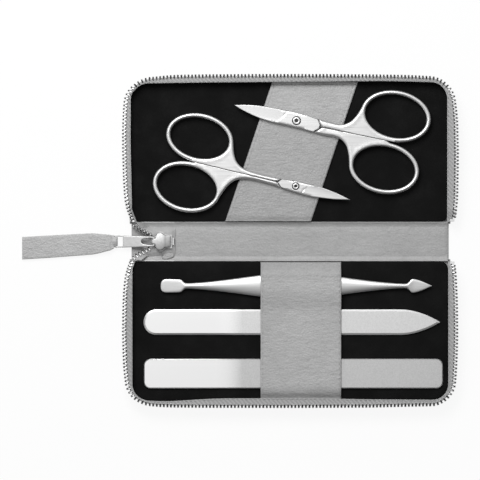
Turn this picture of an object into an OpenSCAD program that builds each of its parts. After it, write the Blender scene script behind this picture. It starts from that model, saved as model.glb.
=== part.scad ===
// Zip-around manicure case, opened flat, with its five tools.
// X runs along the fold, Y from the lower half to the upper half, Z up from the table.
// The origin is under the middle of the spine.

/* [Case] */
// Length of the lined tray along the fold
tray_l = 145.2; // [140:0.2:160]
// From a fold line to the far edge of the lining
tray_d = 65; // [63:0.2:75]
// Distance between the two fold lines
spine_w = 16; // [15.6:0.1:18]
// Radius of the lining's far corners
corner_r = 7.6; // [5:0.1:12]
// From a fold line to the near edge of the lining
lining_start = 1.15; // [1:0.05:2]

/* [Leather, board and lining] */
// Thickness of the outer leather
leather_t = 1.2; // [0.9:0.05:1.6]
// Thickness of the stiffening boards
board_t = 1.5; // [1:0.1:1.8]
// Thickness of the black lining
lining_t = 0.6; // [0.4:0.05:0.8]
// Thickness of the leather inside the spine
liner_t = 1; // [0.6:0.05:1.1]
// Thickness of the side walls
wall_t = 0.9; // [0.7:0.05:1.2]
// Radius of the rolled leather edge at each fold
roll_r = 0.8; // [0.6:0.05:0.85]

/* [Zip] */
// Distance from tooth to tooth
tooth_pitch = 1.63; // [1.6:0.01:2]
// Length of a tooth across the tape
tooth_l = 2.5; // [2.2:0.1:2.8]
// Thickness of a tooth
tooth_h = 1.5; // [1.3:0.05:1.6]
// Width of a tooth along the tape
tooth_w = 0.9; // [0.7:0.05:1]
// Thickness of the zip tape
tape_t = 0.5; // [0.35:0.05:0.6]
// How far the tooth tips reach past the lining at the corners
corner_reach = 2.9; // [2.5:0.1:3.4]
// How much further they reach at the middle of the short sides
side_bow = 2; // [0:0.1:2.5]
// How much further they reach at the middle of the long side
far_bow = 1.1; // [0:0.1:2]
// Length over which the wall comes down to the slider
left_drop = 15; // [12:0.5:18]
// Length over which the wall comes down at the other end
right_drop = 6; // [4:0.5:10]

/* [Slider and pull] */
// Length of the slider
slider_l = 9.4; // [9:0.1:11]
// Width of the slider at its shoulders
slider_w = 9.1; // [8.6:0.1:9.6]
// Width of the slider at its rear
slider_rear_w = 6.2; // [6:0.1:6.6]
// Thickness of the slider's two plates
plate_t = 0.6; // [0.5:0.05:0.8]
// Height of the domed cap
cap_h = 1.9; // [1.8:0.05:2.2]
// From the left end of the tray to the front of the slider
slider_inset = 8.7; // [8:0.1:10]
// Width of the pull tab
tab_w = 5.7; // [5.4:0.1:6.4]
// Thickness of the pull tab
tab_t = 0.8; // [0.6:0.05:1]
// Distance from the tab's pivot bar to its end bar
tab_l = 18.3; // [16:0.1:22]
// Slope of the tab at rest
tab_slope = 11.5; // [11:0.1:13]
// Length of the leather pull strap from its bar
strap_l = 42.6; // [20:0.2:60]
// Width of the pull strap
strap_w = 10.4; // [8:0.1:12]
// Thickness of one layer of the strap
strap_t = 0.9; // [0.7:0.05:1]

/* [Panel and band] */
// Width of the slanted panel along the fold
panel_w = 39.5; // [35:0.1:44]
// Slant of the panel, from square to the fold
panel_slant = 18.6; // [10:0.1:22]
// Place of the panel's middle along the fold
panel_x = 0.6; // [-3:0.1:4]
// Thickness of the padded panel
panel_t = 1.6; // [1.5:0.05:1.8]
// Diameter of the magnets under the panel
magnet_d = 10; // [6:0.1:12]
// Thickness of the magnets
magnet_t = 1; // [0.8:0.05:1.1]
// Width of the straight band
band_w = 37.1; // [30:0.1:44]
// Place of the band's middle along the fold
band_x = 4.9; // [2:0.1:8]
// Thickness of the band
band_t = 1; // [0.7:0.05:1.1]

/* [Scissors] */
// Thickness of the scissors at the joint
joint_t = 2.4; // [2:0.05:2.5]
// Diameter of the wire that the finger rings are made of
ring_d = 2.1; // [1.8:0.05:2.2]
// Thickness of the shanks
shank_t = 1.8; // [1.5:0.05:1.85]
// From screw to tip, nail scissors
nail_blade_l = 29.5; // [26:0.1:32]
// Width of the joint, nail scissors
nail_joint_w = 6.7; // [6:0.1:7.4]
// From screw to the middle of the rings, nail scissors
nail_ring_x = 44.1; // [43:0.1:47]
// Length of a finger hole, nail scissors
nail_hole_l = 28.4; // [26:0.1:30]
// Width of a finger hole, nail scissors
nail_hole_w = 19.5; // [18:0.1:20]
// Diameter of the screw head, nail scissors
nail_screw_d = 4; // [3.4:0.1:4.4]
// From screw to tip, cuticle scissors
cuticle_blade_l = 25.9; // [24:0.1:28]
// Width of the joint, cuticle scissors
cuticle_joint_w = 5.2; // [4.8:0.1:6]
// From screw to the middle of the rings, cuticle scissors
cuticle_ring_x = 48.4; // [47:0.1:50]
// Length of a finger hole, cuticle scissors
cuticle_hole_l = 27.4; // [26:0.1:29]
// Width of a finger hole, cuticle scissors
cuticle_hole_w = 18.6; // [18:0.1:20]
// Diameter of the screw head, cuticle scissors
cuticle_screw_d = 3.3; // [3:0.1:3.8]

/* [Tools] */
// Length of the cuticle pusher
pusher_l = 124.6; // [118:0.2:128]
// Greatest width of the pusher
pusher_w = 12; // [10:0.1:12.6]
// Greatest thickness of the pusher
pusher_t = 3; // [2.6:0.05:3.2]
// Length of the pointed file
pointed_file_l = 136.6; // [130:0.2:138]
// Width of the pointed file
pointed_file_w = 11.7; // [10:0.1:12.4]
// From the left end of the tray to the straight file
file_left_gap = 5.2; // [4:0.1:7]
// From the straight file to the right end of the tray
file_right_gap = 2.3; // [2:0.1:4]
// Width of the straight file
straight_file_w = 13.6; // [12:0.1:14.4]
// Thickness of both files
file_t = 1.3; // [1:0.05:1.6]

/* [Fits] */
// Gap between two pieces that move past each other
running_gap = 0.1; // [0.05:0.01:0.15]
// Gap between a soft piece and what lies in or under it
soft_gap = 0.15; // [0.1:0.01:0.25]
// Radial clearance of a pin in its bore
pin_gap = 0.05; // [0.02:0.01:0.1]
// Gap between a tooth's legs and the tape
tooth_gap = 0.12; // [0.1:0.01:0.15]

/* [Hidden] */
$fn = 48;

leather_grey = [0.68, 0.68, 0.68];
lining_black = [0.09, 0.09, 0.09];
steel = [0.88, 0.88, 0.89];
zip_metal = [0.78, 0.78, 0.79];
board_brown = [0.45, 0.38, 0.3];
magnet_grey = [0.35, 0.35, 0.37];

// Folds and heights
fold_y = spine_w / 2;
fold_z = leather_t;
board_z = leather_t + board_t;
lining_z = board_z + lining_t;
half_l = tray_l / 2;
near_y = fold_y + lining_start;
far_y = fold_y + tray_d;
fold_gap = 0.15;
closed_gap = 0.2;

// The tooth rows meet at the middle plane when the halves are folded up
chain_z = fold_z + fold_y - closed_gap - tooth_h / 2;
wall_top_in = tooth_l + 1.1;
tape_edge = 0.8;

// The slider's channel
channel_h = tooth_h + 0.3;
slider_z = leather_t + 0.5;
low_chain_z = slider_z + plate_t + channel_h / 2;
slider_top_z = slider_z + 2 * plate_t + channel_h;
nose_x = -half_l + slider_inset;
rear_x = nose_x + slider_l;
shoulder_x = nose_x + 4.7;
stop_x = rear_x + 0.15;
stop_l = 0.9;
liner_x = stop_x + stop_l + 0.2;

// The wall's left end, where the zip leaves it for the slider
left_end_z = lining_z + tooth_h / 2 + 0.95;
left_end_reach = 1.2;
right_end_z = chain_z - 1.8;
right_end_reach = 3.2;
hem_t = 0.55;
lip_gap = 0.15;
floor_corner_r = 3.2;

// Panel, scissors and tools. The share is the pointed file's place from the pusher, at 0, to
// the straight file, at 1
nail_from_wall = 17.5;
cuticle_from_fold = 17.4;
pusher_from_fold = 12.4;
straight_from_wall = 12.2;
pointed_share = 0.4134;
panel_z = lining_z + panel_t;
scissors_z = panel_z + running_gap;
joint_mid_z = scissors_z + joint_t / 2;
nail_at = [2.85, far_y - nail_from_wall];
nail_turn = 168.3;
nail_front_y = (nail_hole_w + ring_d) / 2 + 0.9;
nail_rear_y = nail_front_y + 0.9;
cuticle_at = [2.5, fold_y + cuticle_from_fold];
cuticle_turn = -13.5;
cuticle_ring_y = (cuticle_hole_w + ring_d) / 2 + 0.9;
tool_z = lining_z + running_gap;
pusher_y = -(fold_y + pusher_from_fold);
pusher_x = 2.9;
straight_file_y = -(far_y - straight_from_wall);
straight_file_l = tray_l - file_left_gap - file_right_gap;
straight_file_x = (file_left_gap - file_right_gap) / 2;
pointed_file_y = mix(pusher_y, straight_file_y, pointed_share);
pointed_file_x = 0.8;
pivot_x = nose_x + 1.3;
pivot_z = slider_top_z + 0.6;
bar_r = 0.5;

function mix(a, b, u) = a + (b - a) * u;
function ease(u) = let (c = min(1, max(0, u))) c * c * (3 - 2 * c);
function total(list, n) = n < 0 ? 0 : list[n] + total(list, n - 1);

// Solid through a row of rings that all have the same number of points. A closed row runs
// back into its first ring
module loft(rings, closed = false) {
  n = len(rings[0]);
  m = len(rings);
  polyhedron(
    points = [for (r = rings) each r],
    faces = concat(
      closed ? [] : [[for (i = [n - 1:-1:0]) i], [for (i = [0:n - 1]) (m - 1) * n + i]],
      [for (j = [0:closed ? m - 1 : m - 2], i = [0:n - 1])
        let (a = j * n + i, b = j * n + (i + 1) % n, on = ((j + 1) % m - j) * n)
        each [[a, b, b + on], [a, b + on, a + on]]]
    )
  );
}

// ---------- outline of one half ----------

// Stations along the lining's edge, from the left fold end round to the right fold end.
// Each is [point, direction outwards, bow from 0 to 1, side]
side_steps = 12;
corner_steps = 6;
far_steps = 10;
function side_y(u) = mix(near_y, far_y - corner_r, pow(u, 1.6));
function side_bulge(y) = 1 - pow(2 * (y - near_y) / (far_y - corner_r - near_y) - 1, 2);
left_side = [for (i = [0:side_steps])
  let (y = side_y(i / side_steps)) [[-half_l, y], 180, side_bulge(y), side_bow]];
left_corner = [for (i = [1:corner_steps])
  let (a = 180 - 90 * i / corner_steps)
  [[-half_l + corner_r * (1 + cos(a)), far_y - corner_r * (1 - sin(a))], a, 0, far_bow]];
far_side = [for (i = [1:far_steps])
  let (x = mix(-1, 1, i / far_steps)) [[x * (half_l - corner_r), far_y], 90, 1 - x * x, far_bow]];
right_corner = [for (i = [1:corner_steps])
  let (a = 90 - 90 * i / corner_steps)
  [[half_l - corner_r * (1 - cos(a)), far_y - corner_r * (1 - sin(a))], a, 0, side_bow]];
right_side = [for (i = [1:side_steps])
  let (y = side_y(1 - i / side_steps)) [[half_l, y], 0, side_bulge(y), side_bow]];
stations = concat(left_side, left_corner, far_side, right_corner, right_side);

// How far down the wall has come at a station, 0 at the fold and 1 where it has its full height
function rise(s) = ease((s[0].y - near_y) / (s[0].x < 0 ? left_drop : right_drop));
function reach(s) =
  mix(s[0].x < 0 ? left_end_reach : right_end_reach, corner_reach + s[3] * s[2], rise(s));
function height(s) = mix(s[0].x < 0 ? left_end_z : right_end_z, chain_z, rise(s));
// The point at a station that lies out past the lining's edge by out, at height z
function rim(s, out, z) = [s[0].x + out * cos(s[1]), s[0].y + out * sin(s[1]), z];

// Flat outline of one half, grown by out past the lining's edge, from start_y to the far side
module half_outline(out, start_y) {
  intersection() {
    offset(r = out)
      polygon(concat([for (s = stations) s[0]], [[half_l, 0], [-half_l, 0]]));
    translate([-half_l - 10, start_y]) square([tray_l + 20, tray_d + 20]);
  }
}

module mirrored() { mirror([0, 1, 0]) children(); }

// ---------- pieces that both halves have ----------

// Outer leather of one half, hollowed along the fold where the spine's rolled edge turns
module cover() {
  difference() {
    linear_extrude(leather_t) half_outline(wall_t + 0.45, fold_y + fold_gap);
    translate([-half_l - 10, fold_y, fold_z]) rotate([0, 90, 0])
      cylinder(r = roll_r + running_gap, h = tray_l + 20);
  }
}

module board() {
  translate([0, 0, leather_t]) linear_extrude(board_t) tray_floor();
}

module lining() {
  translate([0, 0, board_z]) linear_extrude(lining_t) tray_floor();
}

// Floor inside the walls, with its corners at the fold cut round
module tray_floor() {
  offset(r = floor_corner_r) offset(r = -floor_corner_r) half_outline(0, near_y);
}

// Leather wall: upright beside the lining, then leaning to a lip that the zip is sewn on. Where
// it comes down at the folds it lies flatter, and hem is its thickness there
module wall() {
  foot = 0.25;
  knee_z = lining_z + 0.15;
  lip_h = (tooth_h - tape_t) / 2 + lip_gap;
  loft([for (s = stations)
    let (lean = reach(s) - wall_top_in, top = height(s) - tape_t / 2, hem = (1 - rise(s)) * hem_t)
    [rim(s, foot, fold_z), rim(s, foot, knee_z), rim(s, lean, top - lip_h - hem), rim(s, lean, top),
     rim(s, lean + wall_t, top), rim(s, lean + wall_t, top - lip_h),
     rim(s, foot + wall_t, knee_z + hem), rim(s, foot + wall_t, fold_z)]]);
}

// Zip tape: a strip on top of the wall, whose outer edge lies in the teeth
module zip_tape() {
  loft([for (s = stations)
    let (in = reach(s) - wall_top_in, out = reach(s) - tooth_l + tape_edge, z = height(s))
    [rim(s, in, z - tape_t / 2), rim(s, in, z + tape_t / 2),
     rim(s, out, z + tape_t / 2), rim(s, out, z - tape_t / 2)]]);
}

// One metal tooth, seen from its side: two legs clamped on the tape's edge and a domed head
module tooth() {
  half = tooth_h / 2;
  notch = tape_t / 2 + tooth_gap;
  notch_x = tape_edge + tooth_gap;
  translate([0, tooth_w / 2, 0]) rotate([90, 0, 0]) linear_extrude(tooth_w)
    polygon([[0, notch], [0, half * 0.8], [0.35, half], [tooth_l * 0.7, half],
             [tooth_l, half * 0.45], [tooth_l, -half * 0.45], [tooth_l * 0.7, -half],
             [0.35, -half], [0, -half * 0.8], [0, -notch], [notch_x, -notch], [notch_x, notch]]);
}

// Teeth at equal steps along a row of root points, each with the way outwards there. side is
// 1 where outwards is to the left of the row's run and -1 where it is to the right
module tooth_row(roots, outs, first, last_gap, side) {
  steps = [for (i = [0:len(roots) - 2]) norm(roots[i + 1] - roots[i])];
  ends = [for (i = [0:len(steps) - 1]) total(steps, i)];
  count = floor((ends[len(ends) - 1] - first - last_gap) / tooth_pitch);
  for (k = [0:count]) {
    s = first + k * tooth_pitch;
    i = len([for (e = ends) if (e < s) e]);
    u = 1 - (ends[i] - s) / steps[i];
    at = mix(roots[i], roots[i + 1], u);
    way = mix(outs[i], outs[i + 1], u);
    run = roots[i + 1] - roots[i];
    climb = atan2(run.z, norm([run.x, run.y]));
    translate(at) rotate([-side * climb, 0, way]) tooth();
  }
}

root_points = [for (s = stations) rim(s, reach(s) - tooth_l, height(s))];
root_ways = [for (s = stations) s[1]];

module zip_teeth() {
  tooth_row(root_points, root_ways, 0.6, 1.8, 1);
}

// Stop clamped on the tape's edge after the last tooth
module top_stop() {
  last = stations[len(stations) - 1];
  at = rim(last, reach(last) - tooth_l, height(last));
  stop_w = 1.1;
  climb_room = 0.25;
  translate([at.x, at.y + 0.05, at.z]) rotate([0, 0, last[1]])
    difference() {
      translate([0.1, 0, -tooth_h * 0.45]) cube([tooth_l * 0.8, stop_w, tooth_h * 0.9 + climb_room]);
      translate([-1, -1, -tape_t / 2 - tooth_gap])
        cube([1 + tape_edge + tooth_gap, 4, tape_t + 2 * tooth_gap + climb_room]);
    }
}

// ---------- spine ----------

// Outer leather under the spine, with a rolled edge along each fold
module spine_leather() color(leather_grey) {
  end_x = half_l + 0.5;
  union() {
    translate([-end_x, -fold_y + fold_gap, 0]) cube([2 * end_x, spine_w - 2 * fold_gap, leather_t]);
    for (side = [-1, 1])
      translate([-end_x, side * fold_y, fold_z]) rotate([0, 90, 0])
        cylinder(r = roll_r, h = 2 * end_x);
  }
}

// Inner leather of the spine, thicker along its middle, with the end turned down at the zip
module spine_liner() color(leather_grey) {
  edge_y = fold_y - 1;
  end_x = half_l + 0.2;
  difference() {
    translate([liner_x, 0, fold_z]) rotate([90, 0, 90]) linear_extrude(end_x - liner_x)
      polygon([[-edge_y, 0], [-edge_y, liner_t * 0.6], [-edge_y + 1, liner_t * 0.85],
               [-2, liner_t], [2, liner_t], [edge_y - 1, liner_t * 0.85],
               [edge_y, liner_t * 0.6], [edge_y, 0]]);
    translate([liner_x, 0, fold_z + liner_t]) rotate([0, 45, 0])
      cube([0.5, spine_w, 0.5], center = true);
  }
}

// The closed end of the chain: teeth of both rows, one after the other, under the slider
module zip_chain_end() color(zip_metal) {
  count = 3;
  overlap = 0.5;
  for (k = [0:count - 1], side = [-1, 1])
    translate([stop_x - 0.65 - tooth_pitch * k - (side > 0 ? tooth_pitch / 2 : 0),
               side * (tooth_l - overlap), low_chain_z])
      rotate([0, 0, -side * 90]) closed_tooth();
}

// A tooth of the closed end, slimmer so that its neighbour has room beside its head
module closed_tooth() {
  half = tooth_h / 2;
  width = (tooth_pitch - 2 * running_gap) / 2;
  translate([0, width / 2, 0]) rotate([90, 0, 0]) linear_extrude(width)
    polygon([[tape_edge, -half], [0, -half], [0, -tape_t / 2], [tape_edge, -tape_t / 2],
             [tape_edge, tape_t / 2], [0, tape_t / 2], [0, half], [tooth_l * 0.7, half],
             [tooth_l, half * 0.45], [tooth_l, -half * 0.45], [tooth_l * 0.7, -half]]);
}

// Staple that closes the chain behind the slider, standing on the spine leather
module zip_bottom_stop() color(zip_metal) {
  width = 3.2;
  top = low_chain_z + tooth_h * 0.45;
  translate([stop_x, -width / 2, fold_z])
    difference() {
      cube([stop_l, width, top - fold_z]);
      translate([-1, 0.7, -1]) cube([stop_l + 2, width - 1.4, low_chain_z - fold_z + 0.4]);
    }
}

// Route of the tooth roots from the wall's end to the slider's mouth
mouth = [nose_x + 0.3, 3.9, low_chain_z];
tail_start = rim(stations[0], left_end_reach - tooth_l, left_end_z);
tail_bend = [tail_start.x + 2.6, 6.4, mix(left_end_z, low_chain_z, 0.6)];
tail_steps = 8;
function bend(a, b, c, u) = mix(mix(a, b, u), mix(b, c, u), u);
tail_roots = [for (i = [0:tail_steps])
  bend(tail_start - [0, 0.4, 0], tail_bend, mouth, i / tail_steps)];
tail_ways = [for (i = [0:tail_steps])
  let (a = tail_roots[max(0, i - 1)], b = tail_roots[min(tail_steps, i + 1)])
  atan2(b.y - a.y, b.x - a.x) - 90];

// Tape that joins the tail's teeth to the spine and runs on beside the slider
module zip_tail() {
  inner_y = fold_y - 1.2;
  flat_z = fold_z + tape_t;
  run_x = stop_x - 0.2;
  channel_y = tooth_l - 0.5 - tape_edge + 0.1;
  beside_y = slider_w / 2 + 0.3;
  loft(concat(
    [for (i = [0:tail_steps])
      let (way = tail_ways[i], r = tail_roots[i] + tape_edge * [cos(way), sin(way), 0],
           u = i / tail_steps,
           back = [mix(tail_start.x + 3, mouth.x + 0.5, u), mix(near_y - 0.6, inner_y, ease(u * 2)),
                   mix(left_end_z, flat_z + 0.25, ease(u * 1.3))])
      tape_ring(r, mix(r, back, 0.5) + [0, 0, 0.45 * ease(u)], back)],
    [for (x = [mouth.x + 1.4, rear_x - 2.5, run_x])
      tape_ring([x, channel_y, low_chain_z], [x, beside_y, low_chain_z - 0.1], [x, inner_y, flat_z])]
  ));
}
function tape_ring(a, b, c) =
  let (up = [0, 0, tape_t * 0.8]) [a, a + up, b + up, c + up, c, b];

module tail_teeth() { tooth_row(tail_roots, tail_ways, 1.2, 0.3, -1); }

module upper_zip_tail() color(leather_grey) translate([0, 0, -tape_t * 0.4]) zip_tail();
module lower_zip_tail() color(leather_grey) mirrored() translate([0, 0, -tape_t * 0.4]) zip_tail();
module upper_tail_teeth() color(zip_metal) tail_teeth();
module lower_tail_teeth() color(zip_metal) mirrored() tail_teeth();

// ---------- upper half ----------

module upper_cover() color(leather_grey) cover();
module upper_board() color(board_brown) board();
module upper_lining() color(lining_black) lining();
module upper_wall() color(leather_grey) wall();
module upper_zip_tape() color(leather_grey) zip_tape();
module upper_zip_teeth() color(zip_metal) zip_teeth();
module upper_top_stop() color(zip_metal) top_stop();

magnet_places = [[nail_at.x - 3, nail_at.y], [cuticle_at.x - 3, cuticle_at.y]];

// Slanted padded panel that the scissors lie on, hollowed below for the magnets
module scissor_panel() color(leather_grey) {
  run = tray_d - lining_start - 0.4;
  lean = run * tan(panel_slant);
  difference() {
    translate([panel_x, near_y + 0.2, lining_z]) linear_extrude(panel_t)
      polygon([[-lean / 2 - panel_w / 2, 0], [-lean / 2 + panel_w / 2, 0],
               [lean / 2 + panel_w / 2, run], [lean / 2 - panel_w / 2, run]]);
    for (p = magnet_places)
      translate([p.x, p.y, lining_z - 1])
        cylinder(d = magnet_d + 2 * running_gap, h = 1 + magnet_t + running_gap);
  }
}

module panel_magnets() color(magnet_grey)
  for (p = magnet_places) translate([p.x, p.y, lining_z]) cylinder(d = magnet_d, h = magnet_t);

// ---------- lower half ----------

module lower_cover() color(leather_grey) mirrored() cover();
module lower_board() color(board_brown) mirrored() board();
module lower_lining() color(lining_black) mirrored() lining();
module lower_wall() color(leather_grey) mirrored() wall();
module lower_zip_tape() color(leather_grey) mirrored() zip_tape();
module lower_zip_teeth() color(zip_metal) mirrored() zip_teeth();
module lower_top_stop() color(zip_metal) mirrored() top_stop();

// Band over the tools, sewn down at both ends and pulled straight from tool to tool
module tool_band() color(leather_grey) {
  low = lining_z;
  over_pusher = tool_z + pusher_t + soft_gap;
  over_files = tool_z + file_t + soft_gap;
  p = -pusher_y;
  f = -pointed_file_y;
  s = -straight_file_y;
  under = [
    [near_y + 1.2, low], [p - pusher_w * 0.5, mix(low, over_pusher, 0.72)],
    [p - pusher_w * 0.28, over_pusher - 0.15], [p - pusher_w * 0.1, over_pusher],
    [p + pusher_w * 0.1, over_pusher], [p + pusher_w * 0.28, over_pusher - 0.15],
    [p + pusher_w * 0.52, mix(low, over_pusher, 0.74)],
    [f - pointed_file_w / 2, over_files + 0.1], [f, over_files + 0.05],
    [s, over_files + 0.05], [s + straight_file_w / 2 + 0.4, over_files],
    [far_y - 1.4, low]
  ];
  over = [for (i = [len(under) - 1:-1:0]) under[i] + [0, band_t]];
  translate([band_x + band_w / 2, 0, 0]) rotate([90, 0, -90]) linear_extrude(band_w)
    polygon(concat([[near_y + 0.2, low]], under, [[far_y - 0.2, low], [far_y - 0.2, low + band_t]],
                   over, [[near_y + 0.2, low + band_t]]));
}

// ---------- slider and pull ----------

// Outline of the slider's plates: a rounded point in front, wide shoulders and a narrow rear
module slider_outline(shrink) {
  offset(r = -shrink)
    union() {
      hull() {
        translate([nose_x + 0.9, 0]) circle(r = 0.9);
        translate([shoulder_x - 0.4, slider_w / 2 - 1.3]) circle(r = 1.3);
        translate([shoulder_x - 0.4, -slider_w / 2 + 1.3]) circle(r = 1.3);
        translate([rear_x - 2.4, 0]) square([0.1, slider_rear_w - 0.6], center = true);
      }
      translate([shoulder_x, -slider_rear_w / 2]) square([rear_x - shoulder_x, slider_rear_w]);
    }
}

// Two plates joined by the wedge in front, with flanges that guide the closed chain
module slider_body() color(zip_metal) {
  flange_in = tooth_l - 0.5 + 0.25;
  slot_h = tape_t + 0.5;
  translate([0, 0, slider_z]) linear_extrude(plate_t) slider_outline(0);
  translate([0, 0, slider_top_z - plate_t]) linear_extrude(plate_t) slider_outline(0);
  translate([0, 0, slider_z + plate_t / 2]) linear_extrude(channel_h + plate_t)
    polygon([[nose_x + 0.5, 0], [nose_x + 1.2, 0.7], [nose_x + 3, 0], [nose_x + 1.2, -0.7]]);
  for (side = [-1, 1], level = [0, 1])
    translate([shoulder_x + 1.4, side * (flange_in + 0.25) - 0.25,
               level == 0 ? slider_z + plate_t / 2 : low_chain_z + slot_h / 2])
      cube([rear_x - shoulder_x - 1.4, 0.5, (channel_h - slot_h + plate_t) / 2]);
}

// Domed cap that bridges the pull's pivot bar
module slider_cap() color(zip_metal) {
  dome_r = 9;
  lobe_r = 1.2;
  rim_w = 0.4;
  base_z = slider_top_z;
  difference() {
    intersection() {
      translate([0, 0, base_z]) linear_extrude(cap_h) union() {
        hull() {
          translate([nose_x + 0.95, 0]) circle(r = 0.75);
          translate([shoulder_x - 1.2, 0]) circle(r = 1.35);
        }
        hull() for (side = [-1, 1])
          translate([shoulder_x - 0.6, side * (slider_w / 2 - rim_w - lobe_r)]) circle(r = lobe_r);
        translate([shoulder_x, rim_w - slider_rear_w / 2])
          square([rear_x - rim_w - shoulder_x, slider_rear_w - 2 * rim_w]);
      }
      translate([shoulder_x - 0.4, 0, base_z + cap_h - dome_r]) sphere(r = dome_r, $fn = 96);
    }
    translate([pivot_x, 0, pivot_z]) rotate([90, 0, 0])
      cylinder(r = bar_r + pin_gap, h = slider_w, center = true);
  }
}

slot_w = 3.2;
slot_l = 5;
eye_w = 4.7;
eye_l = 3.6;
end_bar_w = 1.1;

// Pull tab, drawn flat along -X from its pivot bar and then tipped down
module pull_tab() color(steel)
  translate([pivot_x, 0, pivot_z]) rotate([0, -tab_slope, 0]) {
    translate([0, 0, -tab_t / 2]) linear_extrude(tab_t) difference() {
      hull() {
        translate([-tab_l, 0]) square([end_bar_w - 0.2, tab_w - 0.4], center = true);
        translate([-bar_r - 3, 0]) square([0.2, tab_w], center = true);
        for (side = [-1, 1]) translate([-0.55, side * (tab_w / 2 - 0.55)]) circle(r = 0.55);
      }
      translate([-bar_r - slot_l + slot_w / 2, 0]) circle(d = slot_w);
      translate([-bar_r - slot_l + slot_w / 2, -slot_w / 2]) square([slot_l, slot_w]);
      translate([-tab_l + end_bar_w / 2 - 0.1, -eye_w / 2]) square([eye_l, eye_w]);
    }
    rotate([90, 0, 0]) cylinder(r = bar_r, h = tab_w - 0.6, center = true);
    translate([-tab_l, 0, 0]) rotate([90, 0, 0])
      cylinder(r = end_bar_w / 2, h = tab_w - 0.6, center = true);
  }

strap_bar = [pivot_x - tab_l * cos(tab_slope), pivot_z - tab_l * sin(tab_slope)];
strap_neck_w = 4.3;

// Leather strap folded round the tab's end bar, its two layers lying on the table
module pull_strap() color(leather_grey) {
  bore_r = end_bar_w / 2 + running_gap;
  outer_r = bore_r + strap_t;
  low = 0.05;
  difference() {
    union() {
      translate([strap_bar.x, 0, strap_bar.y]) rotate([90, 0, 0])
        cylinder(r = outer_r, h = strap_neck_w, center = true);
      loft([for (p = [[0, strap_neck_w, strap_bar.y - outer_r * 0.8, strap_bar.y + outer_r * 0.8],
                      [3, strap_neck_w + 0.6, 0.35, strap_bar.y + outer_r * 0.5],
                      [6, 7.4, low, low + 2.3 * strap_t], [9.5, 9, low, low + 2 * strap_t],
                      [13.5, strap_w, low, low + 2 * strap_t],
                      [strap_l, strap_w, low, low + 2 * strap_t]])
        [[strap_bar.x - p[0], p[1] / 2, p[2]], [strap_bar.x - p[0], p[1] / 2, p[3]],
         [strap_bar.x - p[0], -p[1] / 2, p[3]], [strap_bar.x - p[0], -p[1] / 2, p[2]]]]);
    }
    translate([strap_bar.x, 0, strap_bar.y]) rotate([90, 0, 0])
      cylinder(r = bore_r, h = strap_w, center = true);
  }
}

// ---------- scissors ----------
// Each half is drawn with the screw at the origin, the tips along +X, its ring at +Y and the
// flat where the halves slide on each other at Z 0. The upper half is on top of that flat.

// An oval of half-length a and half-width b, as two end arcs and two flank arcs
function end_r(a, b) = b * b / a * 1.12;
function flank_r(a, b) =
  let (r = end_r(a, b)) ((a - r) * (a - r) + b * b - r * r) / (2 * (b - r));
function flank_angle(a, b) = asin((a - end_r(a, b)) / (flank_r(a, b) - end_r(a, b)));
function arc(at, r, from, to, n) =
  [for (i = [0:n - 1]) let (t = mix(from, to, i / n)) [at.x + r * cos(t), at.y + r * sin(t)]];
function oval_points(a, b) =
  let (r = end_r(a, b), f = flank_r(a, b), turn = flank_angle(a, b))
  concat(
    arc([a - r, 0], r, turn - 90, 90 - turn, 12),
    arc([0, b - f], f, 90 - turn, 90 + turn, 12),
    arc([r - a, 0], r, 90 + turn, 270 - turn, 12),
    arc([0, f - b], f, 270 - turn, 270 + turn, 12)
  );

// Finger ring of round wire along such an oval
module oval_ring(a, b) {
  line = oval_points(a, b);
  n = len(line);
  loft([for (i = [0:n - 1])
    let (run = line[(i + 1) % n] - line[(i + n - 1) % n], out = [run.y, -run.x] / norm(run))
    [for (t = [15:30:345])
      let (at = line[i] + out * cos(t) * ring_d / 2) [at.x, at.y, sin(t) * ring_d / 2]]],
    closed = true);
}

// Where one half's shank gives way to the other half's joint plate
shoulder_lean = 0.76;
// Share of the joint's width on a blade's own side, where its cutting edge is
own_share = 0.55;

// Flat outline of the joint plate and blade. tip_y is how far the tip lies off the middle line
module blade_outline(blade_l, joint_w, tip_y, own_power, other_power, back_l, neck_w) {
  steps = 14;
  own_w = joint_w * own_share;
  other_w = joint_w - own_w;
  split = running_gap / 2;
  polygon(concat(
    [[-back_l, split], [-back_l * shoulder_lean, -other_w]],
    [for (i = [0:steps]) let (u = i / steps)
      [u * blade_l, tip_y - (other_w + tip_y) * (1 - pow(u, other_power))]],
    [for (i = [steps - 1:-1:0]) let (u = i / steps)
      [u * blade_l, tip_y + (own_w - tip_y) * (1 - pow(u, own_power))]],
    [[-back_l * shoulder_lean, own_w - 0.1], [-back_l - 3, neck_w - 0.2], [-back_l - 3, split]]
  ));
}

// Joint plate and blade, ground thinner towards the tip and bevelled along the cutting edge
module blade(blade_l, joint_w, tip_y, own_power, other_power, back_l, neck_w) {
  plate_h = (joint_t - running_gap / 2) / 2;
  own_w = joint_w * own_share;
  bevel_x = blade_l * 0.42;
  taper_x = blade_l * 0.2;
  taper = atan((plate_h * 0.55) / (blade_l - taper_x));
  line = atan2(tip_y - 0.5 - own_w, blade_l - bevel_x);
  bevel = 20;
  difference() {
    translate([0, 0, running_gap / 4]) linear_extrude(plate_h)
      blade_outline(blade_l, joint_w, tip_y, own_power, other_power, back_l, neck_w);
    translate([taper_x, -blade_l / 2, joint_t / 2]) rotate([0, taper, 0])
      cube([blade_l * 1.2, blade_l, plate_h * 2]);
    translate([bevel_x, own_w, joint_t / 2 - 0.1]) rotate([0, 0, line]) rotate([-bevel, 0, 0])
      translate([-2, 0, 0]) cube([blade_l, blade_l / 2, plate_h * 2]);
  }
}

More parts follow.
